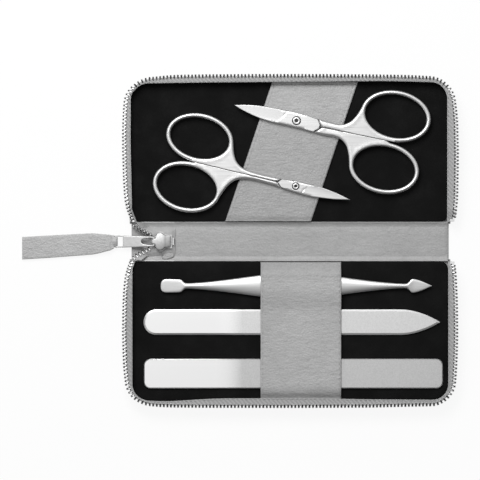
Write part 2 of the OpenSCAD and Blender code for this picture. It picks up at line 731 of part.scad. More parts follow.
// Shank and web that carry the ring, cut off at the split and at the other half's joint plate
module shank_outline(a, b, ring_x, ring_y, joint_w, back_l, neck_w) {
  split = running_gap / 2;
  web_r = 13;
  wire_inside = 0.45;
  shoulder = [-back_l * shoulder_lean - running_gap, joint_w * (1 - own_share)];
  intersection() {
    difference() {
      offset(r = -web_r) offset(r = web_r) {
        translate([-ring_x, ring_y]) polygon(oval_points(a + wire_inside, b + wire_inside));
        translate([-ring_x, -1]) square([ring_x - back_l / 2, neck_w + 1]);
      }
      translate([-ring_x, ring_y]) polygon(oval_points(a, b));
    }
    polygon([[-back_l - running_gap, split], shoulder, [shoulder.x, ring_y * 3],
             [-ring_x * 2, ring_y * 3], [-ring_x * 2, split]]);
  }
}

// One half of a pair of scissors. screw_hole is the radius of its bore
module scissor_half(blade_l, joint_w, tip_y, own_power, other_power, back_l, hole_l, hole_w,
                    ring_x, ring_y, screw_hole, head_hole) {
  a = (hole_l + ring_d) / 2;
  b = (hole_w + ring_d) / 2;
  neck_w = joint_w * 0.46;
  difference() {
    union() {
      intersection() {
        translate([-ring_x, ring_y, 0]) oval_ring(a, b);
        translate([-ring_x * 2, running_gap / 2, -ring_d])
          cube([ring_x * 2, ring_y * 3, ring_d * 2]);
      }
      translate([0, 0, -shank_t / 2]) linear_extrude(shank_t)
        shank_outline(a, b, ring_x, ring_y, joint_w, back_l, neck_w);
      blade(blade_l, joint_w, tip_y, own_power, other_power, back_l, neck_w);
    }
    cylinder(r = screw_hole, h = joint_t * 2, center = true);
    if (head_hole > 0)
      translate([0, 0, joint_t / 2 - head_t]) cylinder(r = head_hole, h = joint_t);
  }
}

head_t = 0.65;
screw_share = 0.24;

// Screw through both halves, its slotted head let into the upper one
module scissor_screw(head_d) {
  difference() {
    union() {
      translate([0, 0, joint_t / 2 - head_t]) cylinder(d = head_d, h = head_t + 0.1);
      translate([0, 0, -joint_t / 2]) cylinder(r = head_d * screw_share, h = joint_t);
    }
    translate([-head_d, -0.25, joint_t / 2 - 0.25]) cube([head_d * 2, 0.5, 1]);
  }
}

module place(at, turn) { translate([at.x, at.y, joint_mid_z]) rotate([0, 0, turn]) children(); }

nail_tip_y = 1.3;
nail_back_l = 11.4;
cuticle_tip_y = 0.2;
cuticle_back_l = 8.6;

module nail_half(tip_y, own_power, other_power, ring_y, hole_r, head_r)
  scissor_half(nail_blade_l, nail_joint_w, tip_y, own_power, other_power, nail_back_l,
               nail_hole_l, nail_hole_w, nail_ring_x, ring_y, hole_r, head_r);

module cuticle_half(tip_y, own_power, other_power, hole_r, head_r)
  scissor_half(cuticle_blade_l, cuticle_joint_w, tip_y, own_power, other_power, cuticle_back_l,
               cuticle_hole_l, cuticle_hole_w, cuticle_ring_x, cuticle_ring_y, hole_r, head_r);

module nail_scissors_front() color(steel) place(nail_at, nail_turn) mirror([0, 1, 0])
  nail_half(nail_tip_y, 3.9, 3.2, nail_front_y, nail_screw_d * screw_share, nail_screw_d / 2 + running_gap);

module nail_scissors_rear() color(steel) place(nail_at, nail_turn) mirror([0, 0, 1])
  nail_half(-nail_tip_y, 3.2, 3.9, nail_rear_y, nail_screw_d * screw_share + pin_gap, 0);

module nail_scissors_screw() color(steel) place(nail_at, nail_turn) scissor_screw(nail_screw_d);

module cuticle_scissors_front() color(steel) place(cuticle_at, cuticle_turn) mirror([0, 1, 0])
  cuticle_half(cuticle_tip_y, 2.8, 3.6, cuticle_screw_d * screw_share,
               cuticle_screw_d / 2 + running_gap);

module cuticle_scissors_rear() color(steel) place(cuticle_at, cuticle_turn) mirror([0, 0, 1])
  cuticle_half(-cuticle_tip_y, 3.6, 2.8, cuticle_screw_d * screw_share + pin_gap, 0);

module cuticle_scissors_screw() color(steel) place(cuticle_at, cuticle_turn)
  scissor_screw(cuticle_screw_d);

// ---------- tools under the band ----------

// Section of the pusher: an oval whose squareness runs from 1, round, to 0.5, nearly a rectangle
function pusher_ring(x, half_w, half_t, square_up) = [for (i = [0:15])
  let (t = -i * 22.5, c = cos(t), s = sin(t))
  [x, half_w * sign(c) * pow(abs(c), square_up), half_t * sign(s) * pow(abs(s), square_up)]];

// Forged pusher: a swelling handle between a square spade and a barbed spear
module cuticle_pusher() color(steel) {
  left = -pusher_l / 2;
  right = pusher_l / 2;
  spade_end = left + 9.6;
  left_neck = left + 11;
  right_neck = right - 12;
  barb = right - 9.1;
  belly = left + 61.6;
  swell = 8;
  half_w = pusher_w / 2;
  half_t = pusher_t / 2;
  thin = 0.4;
  neck_t = 0.95;
  translate([pusher_x, pusher_y, tool_z + half_t]) loft(concat(
    [pusher_ring(left, 1.9, thin * 0.5, 0.5), pusher_ring(left + 0.5, 2.7, thin, 0.5),
     pusher_ring(left + 1.3, 3.05, thin, 0.5), pusher_ring(spade_end - 1.2, 3.05, thin * 1.4, 0.5),
     pusher_ring(spade_end - 0.2, 2.3, thin * 1.8, 0.7)],
    [for (i = [0:swell]) let (u = i / swell)
      pusher_ring(mix(left_neck, belly, u), mix(1.25, half_w, ease(u)),
                  mix(neck_t, half_t, ease(u)), 1)],
    [for (i = [1:swell]) let (u = 1 - i / swell)
      pusher_ring(mix(right_neck, belly, u), mix(1.1, half_w, ease(u)),
                  mix(neck_t, half_t, ease(u)), 1)],
    [pusher_ring(barb - 1, 1.9, thin * 1.8, 0.7), pusher_ring(barb, 3.1, thin * 1.4, 0.5),
     pusher_ring(barb + 1.2, 3.15, thin, 0.5), pusher_ring(barb + 4, 2.5, thin, 0.5),
     pusher_ring(barb + 7, 1.2, thin, 0.6), pusher_ring(right, 0.15, thin * 0.5, 1)]
  ));
}

// A flat file whose edges are bevelled all round
module bevelled(bevel) hull() {
  linear_extrude(file_t - 2 * bevel) children();
  translate([0, 0, -bevel]) linear_extrude(file_t) offset(delta = -bevel) children();
}

module pointed_file() color(steel) {
  half_w = pointed_file_w / 2;
  left = -pointed_file_l / 2;
  right = pointed_file_l / 2;
  point_l = 18.5;
  steps = 8;
  bevel = 0.35;
  translate([pointed_file_x, pointed_file_y, tool_z + bevel]) bevelled(bevel)
    polygon(concat(
      arc([left + half_w, 0], half_w, 270, 90, 12),
      [[left + half_w, half_w]],
      [for (i = [0:steps - 1]) let (u = i / steps) [right - point_l * (1 - u), half_w * (1 - pow(u, 1.9))]],
      [[right, 0]],
      [for (i = [steps - 1:-1:0]) let (u = i / steps)
        [right - point_l * (1 - u), -half_w * (1 - pow(u, 1.9))]]
    ));
}

module straight_file() color(steel) {
  edge_r = 3;
  bevel = 0.35;
  translate([straight_file_x, straight_file_y, tool_z + bevel]) bevelled(bevel) hull()
    for (x = [-1, 1], y = [-1, 1])
      translate([x * (straight_file_l / 2 - edge_r), y * (straight_file_w / 2 - edge_r)])
        circle(r = edge_r, $fn = 32);
}

spine_leather();
spine_liner();
zip_bottom_stop();
zip_chain_end();
upper_zip_tail();
upper_tail_teeth();
lower_zip_tail();
lower_tail_teeth();
upper_cover();
upper_board();
upper_lining();
upper_wall();
upper_zip_tape();
upper_zip_teeth();
upper_top_stop();
scissor_panel();
panel_magnets();
lower_cover();
lower_board();
lower_lining();
lower_wall();
lower_zip_tape();
lower_zip_teeth();
lower_top_stop();
tool_band();
slider_body();
slider_cap();
pull_tab();
pull_strap();
nail_scissors_front();
nail_scissors_rear();
nail_scissors_screw();
cuticle_scissors_front();
cuticle_scissors_rear();
cuticle_scissors_screw();
cuticle_pusher();
pointed_file();
straight_file();
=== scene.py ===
import math
import bpy
import bmesh
import numpy as np
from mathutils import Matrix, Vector, geometry


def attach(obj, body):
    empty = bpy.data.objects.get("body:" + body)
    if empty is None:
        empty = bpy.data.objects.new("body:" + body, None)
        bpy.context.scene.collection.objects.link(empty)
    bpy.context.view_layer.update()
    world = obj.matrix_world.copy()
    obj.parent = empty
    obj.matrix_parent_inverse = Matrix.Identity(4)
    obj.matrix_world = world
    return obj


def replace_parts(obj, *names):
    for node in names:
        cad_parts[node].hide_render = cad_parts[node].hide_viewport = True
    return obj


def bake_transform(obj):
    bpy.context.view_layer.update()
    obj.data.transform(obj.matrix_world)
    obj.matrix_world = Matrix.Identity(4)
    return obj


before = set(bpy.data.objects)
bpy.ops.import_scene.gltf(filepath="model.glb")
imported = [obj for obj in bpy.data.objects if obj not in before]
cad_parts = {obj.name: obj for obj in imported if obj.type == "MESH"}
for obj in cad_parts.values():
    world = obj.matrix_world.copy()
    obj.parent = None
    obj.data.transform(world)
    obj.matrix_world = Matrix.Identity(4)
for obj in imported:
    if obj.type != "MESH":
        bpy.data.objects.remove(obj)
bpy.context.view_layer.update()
mm = 0.001


def toLinear(hexCode):  # sRGB hex to linear colour
    parts = [int(hexCode[i:i + 2], 16) / 255 for i in (1, 3, 5)]
    return tuple(c / 12.92 if c <= 0.04045 else ((c + 0.055) / 1.055) ** 2.4 for c in parts) + (1.0,)


def addNode(tree, kind, settings=None, sockets=None):
    # One node with its settings, and values or links for its
    # sockets. stops are a ramp's positions and hex colours
    node = tree.nodes.new(kind)
    for key, value in (settings or {}).items():
        if key == "stops":
            elements = node.color_ramp.elements
            while len(elements) < len(value):
                elements.new(0.5)
            for element, (position, hexCode) in zip(elements, value):
                element.position = position
                element.color = toLinear(hexCode)
        else:
            setattr(node, key, value)
    for key, value in (sockets or {}).items():
        if isinstance(value, bpy.types.NodeSocket):
            tree.links.new(value, node.inputs[key])
        else:
            node.inputs[key].default_value = value
    return node


def newMaterial(name):  # a node material, its tree and shader, and the object's own coordinates
    material = bpy.data.materials.new(name)
    material.use_nodes = True
    tree = material.node_tree
    shader = tree.nodes["Principled BSDF"]
    coords = addNode(tree, "ShaderNodeTexCoord").outputs["Object"]
    return material, tree, shader, coords


# Materials

leatherLook = {"grain": 0.85, "wrinkle": 1.3, "mottle": 22.0, "depth": 0.4, "roughness": 0.48,
               "paintedShadeReach": 80}  # sizes in mm


def nappaLeather(name, dark, mid, light, depth=1.0, turn=0.0, paintedShade=None):
    # Drum-dyed nappa calf leather, embossed: soft pebbles about a millimetre wide,
    # fine creases drawn out along turn degrees, a low sheen and slight mottling.
    # The last argument paints shade: it darkens the colour along Y, listed as places in mm and a factor
    material, tree, shader, coords = newMaterial(name)
    warp = addNode(tree, "ShaderNodeTexNoise", sockets={"Vector": coords, "Scale": 1000 / 2.4, "Detail": 2.0})
    bent = addNode(tree, "ShaderNodeVectorMath", {"operation": "MULTIPLY_ADD"},
                   {0: warp.outputs["Color"], 1: (0.0011, 0.0011, 0.0011), 2: coords})
    cells = addNode(tree, "ShaderNodeTexVoronoi", {"feature": "SMOOTH_F1"},
                    {"Vector": bent.outputs[0], "Scale": 1000 / leatherLook["grain"], "Smoothness": 0.35})
    drawn = addNode(tree, "ShaderNodeMapping",
                    sockets={"Vector": coords, "Rotation": (0, 0, math.radians(-turn)),
                             "Scale": (0.32, 1.0, 1.0)})
    folds = addNode(tree, "ShaderNodeTexNoise",
                    sockets={"Vector": drawn.outputs[0], "Scale": 1000 / leatherLook["wrinkle"],
                             "Detail": 4.0})
    mottle = addNode(tree, "ShaderNodeTexNoise",
                     sockets={"Vector": coords, "Scale": 1000 / leatherLook["mottle"], "Detail": 3.0})
    height = addNode(tree, "ShaderNodeMath", {"operation": "MULTIPLY_ADD"},
                     {0: cells.outputs["Distance"], 1: -0.55, 2: folds.outputs["Fac"]})
    broad = addNode(tree, "ShaderNodeMath", {"operation": "MULTIPLY_ADD"},
                    {0: mottle.outputs["Fac"], 1: 0.45, 2: 0.28})
    tone = addNode(tree, "ShaderNodeMath", {"operation": "MULTIPLY_ADD"},
                   {0: height.outputs[0], 1: 0.5, 2: broad.outputs[0]})
    colour = addNode(tree, "ShaderNodeValToRGB", {"stops": [(0.35, dark), (0.6, mid), (0.9, light)]},
                     {"Fac": tone.outputs[0]}).outputs["Color"]
    # Painted shade: the colour is multiplied by a ramp of factors along Y
    if paintedShade:
        split = addNode(tree, "ShaderNodeSeparateXYZ", sockets={0: coords})
        reach = leatherLook["paintedShadeReach"]
        place = addNode(tree, "ShaderNodeMapRange",
                        sockets={"Value": split.outputs["Y"], "From Min": -reach * mm,
                                 "From Max": reach * mm})
        factor = addNode(tree, "ShaderNodeValToRGB",
                         {"stops": [((y + reach) / (2 * reach), hexCode) for y, hexCode in paintedShade]},
                         {"Fac": place.outputs[0]}).outputs["Color"]
        colour = addNode(tree, "ShaderNodeMix", {"data_type": "RGBA", "blend_type": "MULTIPLY"},
                         {"Factor": 1.0, "A": colour, "B": factor}).outputs["Result"]
    tree.links.new(colour, shader.inputs["Base Color"])
    bump = addNode(tree, "ShaderNodeBump",
                   sockets={"Height": height.outputs[0], "Strength": 0.7 * depth,
                            "Distance": leatherLook["depth"] * mm})
    tree.links.new(bump.outputs[0], shader.inputs["Normal"])
    shader.inputs["Roughness"].default_value = leatherLook["roughness"]
    shader.inputs["Specular IOR Level"].default_value = 0.4
    shader.inputs["Sheen Weight"].default_value = 0.05
    return material


def suedeLining(name):
    # Split-leather lining dyed black: fine nap without gloss
    material, tree, shader, coords = newMaterial(name)
    nap = addNode(tree, "ShaderNodeTexNoise", sockets={"Vector": coords, "Scale": 1000 / 0.7, "Detail": 3.0})
    broad = addNode(tree, "ShaderNodeTexNoise",
                    sockets={"Vector": coords, "Scale": 1000 / 9.0, "Detail": 3.0})
    tone = addNode(tree, "ShaderNodeMath", {"operation": "MULTIPLY_ADD"},
                   {0: nap.outputs["Fac"], 1: 0.5, 2: broad.outputs["Fac"]})
    tree.links.new(addNode(tree, "ShaderNodeValToRGB",
                           {"stops": [(0.5, "#090909"), (0.75, "#0e0e0e"), (0.95, "#141414")]},
                           {"Fac": tone.outputs[0]}).outputs["Color"], shader.inputs["Base Color"])
    bump = addNode(tree, "ShaderNodeBump",
                   sockets={"Height": nap.outputs["Fac"], "Strength": 0.3, "Distance": 0.05 * mm})
    tree.links.new(bump.outputs[0], shader.inputs["Normal"])
    shader.inputs["Roughness"].default_value = 0.85
    shader.inputs["Specular IOR Level"].default_value = 0.12
    return material


def satinSteel(name, light, dark, roughness, turn=0.0, streak=0.22):
    # Stainless steel 1.4034, forged and satin-brushed along
    # its length: soft broad highlights, faint hairlines
    material, tree, shader, coords = newMaterial(name)
    along = addNode(tree, "ShaderNodeMapping",
                    sockets={"Vector": coords, "Rotation": (0, 0, math.radians(-turn)),
                             "Scale": (60.0, 1000 / streak, 1000 / streak)})
    hair = addNode(tree, "ShaderNodeTexNoise",
                   sockets={"Vector": along.outputs[0], "Scale": 1.0, "Detail": 4.0})
    tree.links.new(addNode(tree, "ShaderNodeValToRGB", {"stops": [(0.3, dark), (0.7, light)]},
                           {"Fac": hair.outputs["Fac"]}).outputs["Color"], shader.inputs["Base Color"])
    rough = addNode(tree, "ShaderNodeMapRange",
                    sockets={"Value": hair.outputs["Fac"], "From Min": 0.3, "From Max": 0.7,
                             "To Min": roughness - 0.06, "To Max": roughness + 0.06})
    tree.links.new(rough.outputs[0], shader.inputs["Roughness"])
    bump = addNode(tree, "ShaderNodeBump",
                   sockets={"Height": hair.outputs["Fac"], "Strength": 0.12, "Distance": 0.02 * mm})
    tree.links.new(bump.outputs[0], shader.inputs["Normal"])
    shader.inputs["Metallic"].default_value = 1.0
    return material


def fileSteel(name, startX, endX, gritDark, gritLight):
    # Stainless strip: one end satin-polished, the other coated
    # with fine sapphire grit, whose edge fades over 10 mm
    material, tree, shader, coords = newMaterial(name)
    split = addNode(tree, "ShaderNodeSeparateXYZ", sockets={0: coords})
    zone = addNode(tree, "ShaderNodeMapRange",
                   sockets={"Value": split.outputs["X"], "From Min": startX * mm, "From Max": endX * mm})
    grit = addNode(tree, "ShaderNodeTexNoise", sockets={"Vector": coords, "Scale": 1000 / 0.5, "Detail": 2.0})
    gritColour = addNode(tree, "ShaderNodeValToRGB", {"stops": [(0.3, gritDark), (0.7, gritLight)]},
                         {"Fac": grit.outputs["Fac"]}).outputs["Color"]
    mixed = addNode(tree, "ShaderNodeMix", {"data_type": "RGBA"},
                    {"Factor": zone.outputs[0], "A": toLinear("#fafafa"), "B": gritColour})
    tree.links.new(mixed.outputs["Result"], shader.inputs["Base Color"])
    rough = addNode(tree, "ShaderNodeMapRange",
                    sockets={"Value": zone.outputs[0], "To Min": 0.32, "To Max": 0.62})
    tree.links.new(rough.outputs[0], shader.inputs["Roughness"])
    depth = addNode(tree, "ShaderNodeMath", {"operation": "MULTIPLY"},
                    {0: grit.outputs["Fac"], 1: zone.outputs[0]})
    bump = addNode(tree, "ShaderNodeBump",
                   sockets={"Height": depth.outputs[0], "Strength": 0.3, "Distance": 0.04 * mm})
    tree.links.new(bump.outputs[0], shader.inputs["Normal"])
    shader.inputs["Metallic"].default_value = 1.0
    return material


def platedZip(name, light, dark, roughness):
    # Nickel-plated zip metal, tumbled: two tones mixed by noise. The dark copy is painted shade in the
    # teeth's troughs and gaps
    material, tree, shader, coords = newMaterial(name)
    tone = addNode(tree, "ShaderNodeTexNoise", sockets={"Vector": coords, "Scale": 1000 / 1.1, "Detail": 2.0})
    tree.links.new(addNode(tree, "ShaderNodeValToRGB", {"stops": [(0.35, dark), (0.65, light)]},
                           {"Fac": tone.outputs["Fac"]}).outputs["Color"], shader.inputs["Base Color"])
    bump = addNode(tree, "ShaderNodeBump",
                   sockets={"Height": tone.outputs["Fac"], "Strength": 0.1, "Distance": 0.04 * mm})
    tree.links.new(bump.outputs[0], shader.inputs["Normal"])
    shader.inputs["Roughness"].default_value = roughness
    shader.inputs["Metallic"].default_value = 1.0
    return material


def wovenTape(name, dark, light):
    # Polyester zip tape, woven at 0.5 mm: matte, with a faint twill
    material, tree, shader, coords = newMaterial(name)
    weave = addNode(tree, "ShaderNodeTexWave", {"bands_direction": "DIAGONAL"},
                    {"Vector": coords, "Scale": 1000 / 3.2, "Distortion": 1.5, "Detail": 2.0})
    tree.links.new(addNode(tree, "ShaderNodeValToRGB", {"stops": [(0.2, dark), (0.8, light)]},
                           {"Fac": weave.outputs["Fac"]}).outputs["Color"], shader.inputs["Base Color"])
    bump = addNode(tree, "ShaderNodeBump",
                   sockets={"Height": weave.outputs["Fac"], "Strength": 0.4, "Distance": 0.08 * mm})
    tree.links.new(bump.outputs[0], shader.inputs["Normal"])
    shader.inputs["Roughness"].default_value = 0.8
    shader.inputs["Sheen Weight"].default_value = 0.1
    return material


def plainFinish(name, dark, light, roughness, grain, metallic=0.0):
    # Ferrite, thread, and dark steel painted as shade in recesses: matte and slightly uneven
    material, tree, shader, coords = newMaterial(name)
    tone = addNode(tree, "ShaderNodeTexNoise",
                   sockets={"Vector": coords, "Scale": 1000 / grain, "Detail": 3.0})
    tree.links.new(addNode(tree, "ShaderNodeValToRGB", {"stops": [(0.35, dark), (0.65, light)]},
                           {"Fac": tone.outputs["Fac"]}).outputs["Color"], shader.inputs["Base Color"])
    shader.inputs["Roughness"].default_value = roughness
    shader.inputs["Metallic"].default_value = metallic
    return material


caseLeather = nappaLeather("nappaLeatherCase", "#9c9c9c", "#a6a6a6", "#b2b2b2")
# The panel's colour carries painted shade, darker towards the spine
panelLeather = nappaLeather("nappaLeatherPanel", "#a2a2a2", "#b0b0b0", "#c0c0c0", 1.0, -20.0,
                            [(15, "#ebebeb"), (41, "#f1f1f1"), (62, "#fdfdfd")])
# The band's colour carries painted shade, darker where it rises over the tools near the spine and at its far
# end
bandLeather = nappaLeather("nappaLeatherBand", "#a4a4a4", "#b0b0b0", "#bebebe", 1.0, 35.0,
                           [(-73, "#e4e4e4"), (-68, "#f8f8f8"), (-64, "#ffffff"), (-19.5, "#ffffff"),
                            (-16, "#ededed"), (-9, "#e4e4e4")])
strapLeather = nappaLeather("nappaLeatherStrap", "#a9a9a9", "#b6b6b6", "#c3c3c3", 1.3, 80.0)
spineLeather = nappaLeather("nappaLeatherSpine", "#9d9d9d", "#a8a8a8", "#b4b4b4", 0.7)
# Lighter leather for the roll at the folds: the rounded shape is real, the lighter colour is a painted
# highlight
pipingPaintedHighlight = nappaLeather("nappaLeatherPipingPaintedHighlight", "#b8b8b8", "#c6c6c6", "#d2d2d2", 0.5)
blackLining = suedeLining("suedeLining")
tapeCloth = wovenTape("polyesterTape", "#9c9c9c", "#adadad")
# Dark tape for the outer edge between the side teeth: painted shade
tapeGapShade = wovenTape("polyesterTapePaintedShade", "#3e3e3e", "#525252")
zipNickel = platedZip("nickelZip", "#f0f0f0", "#d8d8d8", 0.35)
# Dark nickel is painted shade on the teeth's trough and flank faces
paintedShadeNickel = platedZip("nickelPaintedShade", "#3c3c3c", "#262626", 0.55)
sliderNickel = platedZip("nickelSlider", "#c0c0c0", "#b6b6b6", 0.55)
tabSteel = satinSteel("satinSteelTab", "#c4c4c4", "#b4b4b4", 0.42)
nailSteel = satinSteel("satinSteelNailScissors", "#d2d2d2", "#c8c8c8", 0.38, 168.3)
cuticleSteel = satinSteel("satinSteelCuticleScissors", "#d2d2d2", "#c8c8c8", 0.38, -13.5)
# Ground facets are brushed across and rougher. The nail facet's darker tone is painted shade and the cuticle
# facet's lighter tone is painted light, both standing in for the facets' tilt
nailFacet = satinSteel("groundSteelNailScissorsPaintedShade", "#b6b6b6", "#aeaeae", 0.46, 168.3 + 90)
cuticleFacet = satinSteel("groundSteelCuticleScissorsPaintedLight", "#dedede", "#d6d6d6", 0.42, -13.5 + 90)
pusherSteel = satinSteel("satinSteelPusher", "#cacaca", "#c0c0c0", 0.42)
# Dark steel: painted shade in the screws' dimples and grooves and at the bottom of the gap behind each
# shoulder
recessShade = plainFinish("steelPaintedRecessShade", "#2e2e2e", "#404040", 0.5, 0.4, 0.8)
pointedSteel = fileSteel("sapphireFilePointed", -34.0, -22.0, "#c8c8c8", "#d4d4d4")
straightSteel = fileSteel("sapphireFileStraight", -34.0, -22.0, "#b8b8b8", "#c4c4c4")
ferrite = plainFinish("ferriteMagnet", "#3a3a3c", "#4a4a4c", 0.6, 1.0, 0.4)
thread = plainFinish("polyesterThread", "#8e8e8e", "#b9b9b9", 0.7, 0.6)
print("materials made")

# Meshes


def makePiece(name, points, faces, material, body, sharp=40.0, fixNormals=True, second=None):
    # points are millimetres in the shared frame; edges that turn by more than sharp degrees stay crisp.
    # second is (material, test of the faces' middles that take it)
    mesh = bpy.data.meshes.new(name)
    mesh.from_pydata((np.asarray(points, float) * mm).tolist(), [], [tuple(f) for f in faces])
    work = bmesh.new()
    work.from_mesh(mesh)
    if fixNormals:
        bmesh.ops.recalc_face_normals(work, faces=work.faces)
    for face in work.faces:
        face.smooth = True
    limit = math.radians(sharp)
    for edge in work.edges:
        if len(edge.link_faces) == 2 and edge.calc_face_angle(0.0) > limit:
            edge.smooth = False
    work.to_mesh(mesh)
    work.free()
    mesh.materials.append(material)
    if second:
        mesh.materials.append(second[0])
        middles = np.empty(len(mesh.polygons) * 3)
        mesh.polygons.foreach_get("center", middles)
        chosen = second[1](middles.reshape(-1, 3) / mm, np.arange(len(mesh.polygons)))
        mesh.polygons.foreach_set("material_index", chosen.astype(np.int32))
    piece = bpy.data.objects.new(name, mesh)
    bpy.context.scene.collection.objects.link(piece)
    if body:
        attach(piece, body)
    return piece


def gridFaces(rows, cols, wrapRows=False, wrapCols=False):  # quads of a grid of points, row by row
    r = np.arange(rows if wrapRows else rows - 1)
    c = np.arange(cols if wrapCols else cols - 1)
    a, b = np.meshgrid(r, c, indexing="ij")
    a2, b2 = (a + 1) % rows, (b + 1) % cols
    return np.stack([a * cols + b, a2 * cols + b, a2 * cols + b2, a * cols + b2], -1).reshape(-1, 4).tolist()


def loftFaces(rows, cols):  # a closed profile carried along a path, closed at both ends
    return gridFaces(rows, cols, wrapCols=True) + [list(range(cols)),
                                                   list(range((rows - 1) * cols, rows * cols))]


def ease(u):  # 0 to 1 with a level start and end: 3u² - 2u³
    u = np.clip(u, 0, 1)
    return u * u * (3 - 2 * u)


def smoothLine(points, step=0.5, closed=False):
    # Catmull-Rom curve through the points, resampled to equal steps
    p = np.asarray(points, float)
    q = np.vstack([p[-1:], p, p[:2]]) if closed else np.vstack([2 * p[0] - p[1], p, 2 * p[-1] - p[-2]])
    t = np.linspace(0, 1, 24, endpoint=False)[:, None]
    a, b, c, d = q[:-3, None], q[1:-2, None], q[2:-1, None], q[3:, None]
    line = (0.5 * (2 * b + (c - a) * t + (2 * a - 5 * b + 4 * c - d) * t**2
                   + (3 * b - a - 3 * c + d) * t**3)).reshape(-1, p.shape[1])
    if not closed:
        line = np.vstack([line, p[-1:]])
    return evenly(line, step, closed)


def lengthAlong(line):  # distance from a line's start to each of its points: the running sum of its steps
    return np.concatenate([[0], np.cumsum(np.linalg.norm(np.diff(line, axis=0), axis=1))])


def pointsAt(distance, run, line):  # points of a line at distances from its start
    return np.stack([np.interp(distance, run, line[:, k]) for k in range(line.shape[1])], -1)


def evenly(line, step, closed=False):  # points at equal steps along a line
    full = np.vstack([line, line[:1]]) if closed else line
    run = lengthAlong(full)
    count = max(2, int(round(run[-1] / step)))
    out = pointsAt(np.linspace(0, run[-1], count + 1), run, full)
    return out[:-1] if closed else out


def unitRows(rows):  # each row divided by its length
    return rows / np.linalg.norm(rows, axis=-1, keepdims=True)


def edgeDistance(points, loops, only=None):
    # Distance from each point to the nearest outline, or to some of its edges
    best = np.full(len(points), np.inf)
    for loop in loops:
        a, b = loop, np.roll(loop, -1, 0)
        if only is not None:
            keep = only((a + b) / 2)
            if not keep.any():
                continue
            a, b = a[keep], b[keep]
        d = b - a
        t = np.clip(((points[:, None] - a) * d).sum(-1) / ((d * d).sum(-1) + 1e-12), 0, 1)
        best = np.minimum(best, np.linalg.norm(points[:, None] - a - t[..., None] * d, axis=-1).min(1))
    return best


def insideOf(points, loops):  # even-odd rule
    x, y = points[:, 0, None], points[:, 1, None]
    odd = np.zeros(len(points), bool)
    for loop in loops:
        a, b = loop, np.roll(loop, -1, 0)
        crossing = (a[:, 1] > y) != (b[:, 1] > y)
        with np.errstate(divide="ignore", invalid="ignore"):
            at = a[:, 0] + (y - a[:, 1]) * (b[:, 0] - a[:, 0]) / (b[:, 1] - a[:, 1])
        odd ^= (np.sum(crossing & (x < at), 1) % 2).astype(bool)
    return odd


def plateShell(loops, insets, gridStep, topHeight, bottomHeight, creases=()):
    # Solid plate inside closed outlines: heights are functions of x, y and
    # the distance to the edge. Points lie on the outlines, at set insets
    # from them, on a grid further in, and along creases, which stay sharp
    outline = np.vstack(loops)
    normals = []
    for loop in loops:
        run = np.roll(loop, -1, 0) - np.roll(loop, 1, 0)
        run /= np.linalg.norm(run, axis=1)[:, None] + 1e-12
        normals.append(np.stack([-run[:, 1], run[:, 0]], 1))
    normal = np.vstack(normals)
    test = outline + normal * 0.02
    normal[~insideOf(test, loops)] *= -1
    points = [outline]
    for inset in insets:
        rim = outline + normal * inset
        keep = (edgeDistance(rim, loops) > inset * 0.96) & insideOf(rim, loops)
        points.append(rim[keep])
    low, high = outline.min(0), outline.max(0)
    gx, gy = np.meshgrid(np.arange(low[0], high[0], gridStep), np.arange(low[1], high[1], gridStep))
    gx[::2] += gridStep / 2
    grid = np.stack([gx.ravel(), gy.ravel()], 1)
    grid = grid[insideOf(grid, loops)]
    points.append(grid[edgeDistance(grid, loops) > insets[-1] + gridStep * 0.4])
    flat = np.vstack(points)
    edges, start = [], 0
    for loop in loops:
        n = len(loop)
        edges += [(start + i, start + (i + 1) % n) for i in range(n)]
        start += n
    for crease in creases:
        crease = crease[insideOf(crease, loops)]
        near = np.linalg.norm(flat[len(outline):, None] - crease, axis=-1).min(1) < gridStep * 0.3
        flat = np.vstack([flat[:len(outline)], flat[len(outline):][~near], crease])
        edges += [(len(flat) - len(crease) + i, len(flat) - len(crease) + i + 1)
                  for i in range(len(crease) - 1)]
    verts, _, tris = geometry.delaunay_2d_cdt([tuple(p) for p in flat], edges, [], 0, 1e-5)[:3]
    verts = np.array([tuple(v) for v in verts])
    tris = np.array([t for t in tris if len(t) == 3])
    tris = tris[insideOf(verts[tris].mean(1), loops)]
    distance = edgeDistance(verts, loops)
    onEdge = distance < 1e-4
    top = topHeight(verts[:, 0], verts[:, 1], distance)
    bottom = bottomHeight(verts[:, 0], verts[:, 1], distance)
    middle = (top + bottom) / 2
    top = np.where(onEdge, middle, top)
    under = np.full(len(verts), -1)
    under[~onEdge] = len(verts) + np.arange((~onEdge).sum())
    under[onEdge] = np.where(onEdge)[0]
    solid = np.vstack([np.column_stack([verts, top]), np.column_stack([verts, bottom])[~onEdge]])
    return solid, tris.tolist() + under[tris][:, ::-1].tolist()


def roundEdge(distance, radius):  # 0 at the edge rising to 1 as a quarter circle
    return np.sqrt(np.clip(1 - (1 - np.clip(distance, 0, radius) / radius) ** 2, 0, 1))


# Case

case = {"trayLength": 145.2, "trayDepth": 65.0, "foldOffset": 8.0, "liningStart": 1.15, "cornerRadius": 7.6,
        "leather": 1.2, "board": 1.5, "lining": 0.6, "wall": 0.9, "endRadius": 3.2, "hem": 0.55, "lip": 0.65,
        "rim": 0.05}
zipRow = {"pitch": 1.63, "sideLength": 2.3, "farLength": 1.8, "toothHeight": 1.5, "toothWidth": 1.0,
          "tape": 0.5, "endHeight": (5.0, 6.45), "height": 8.25}
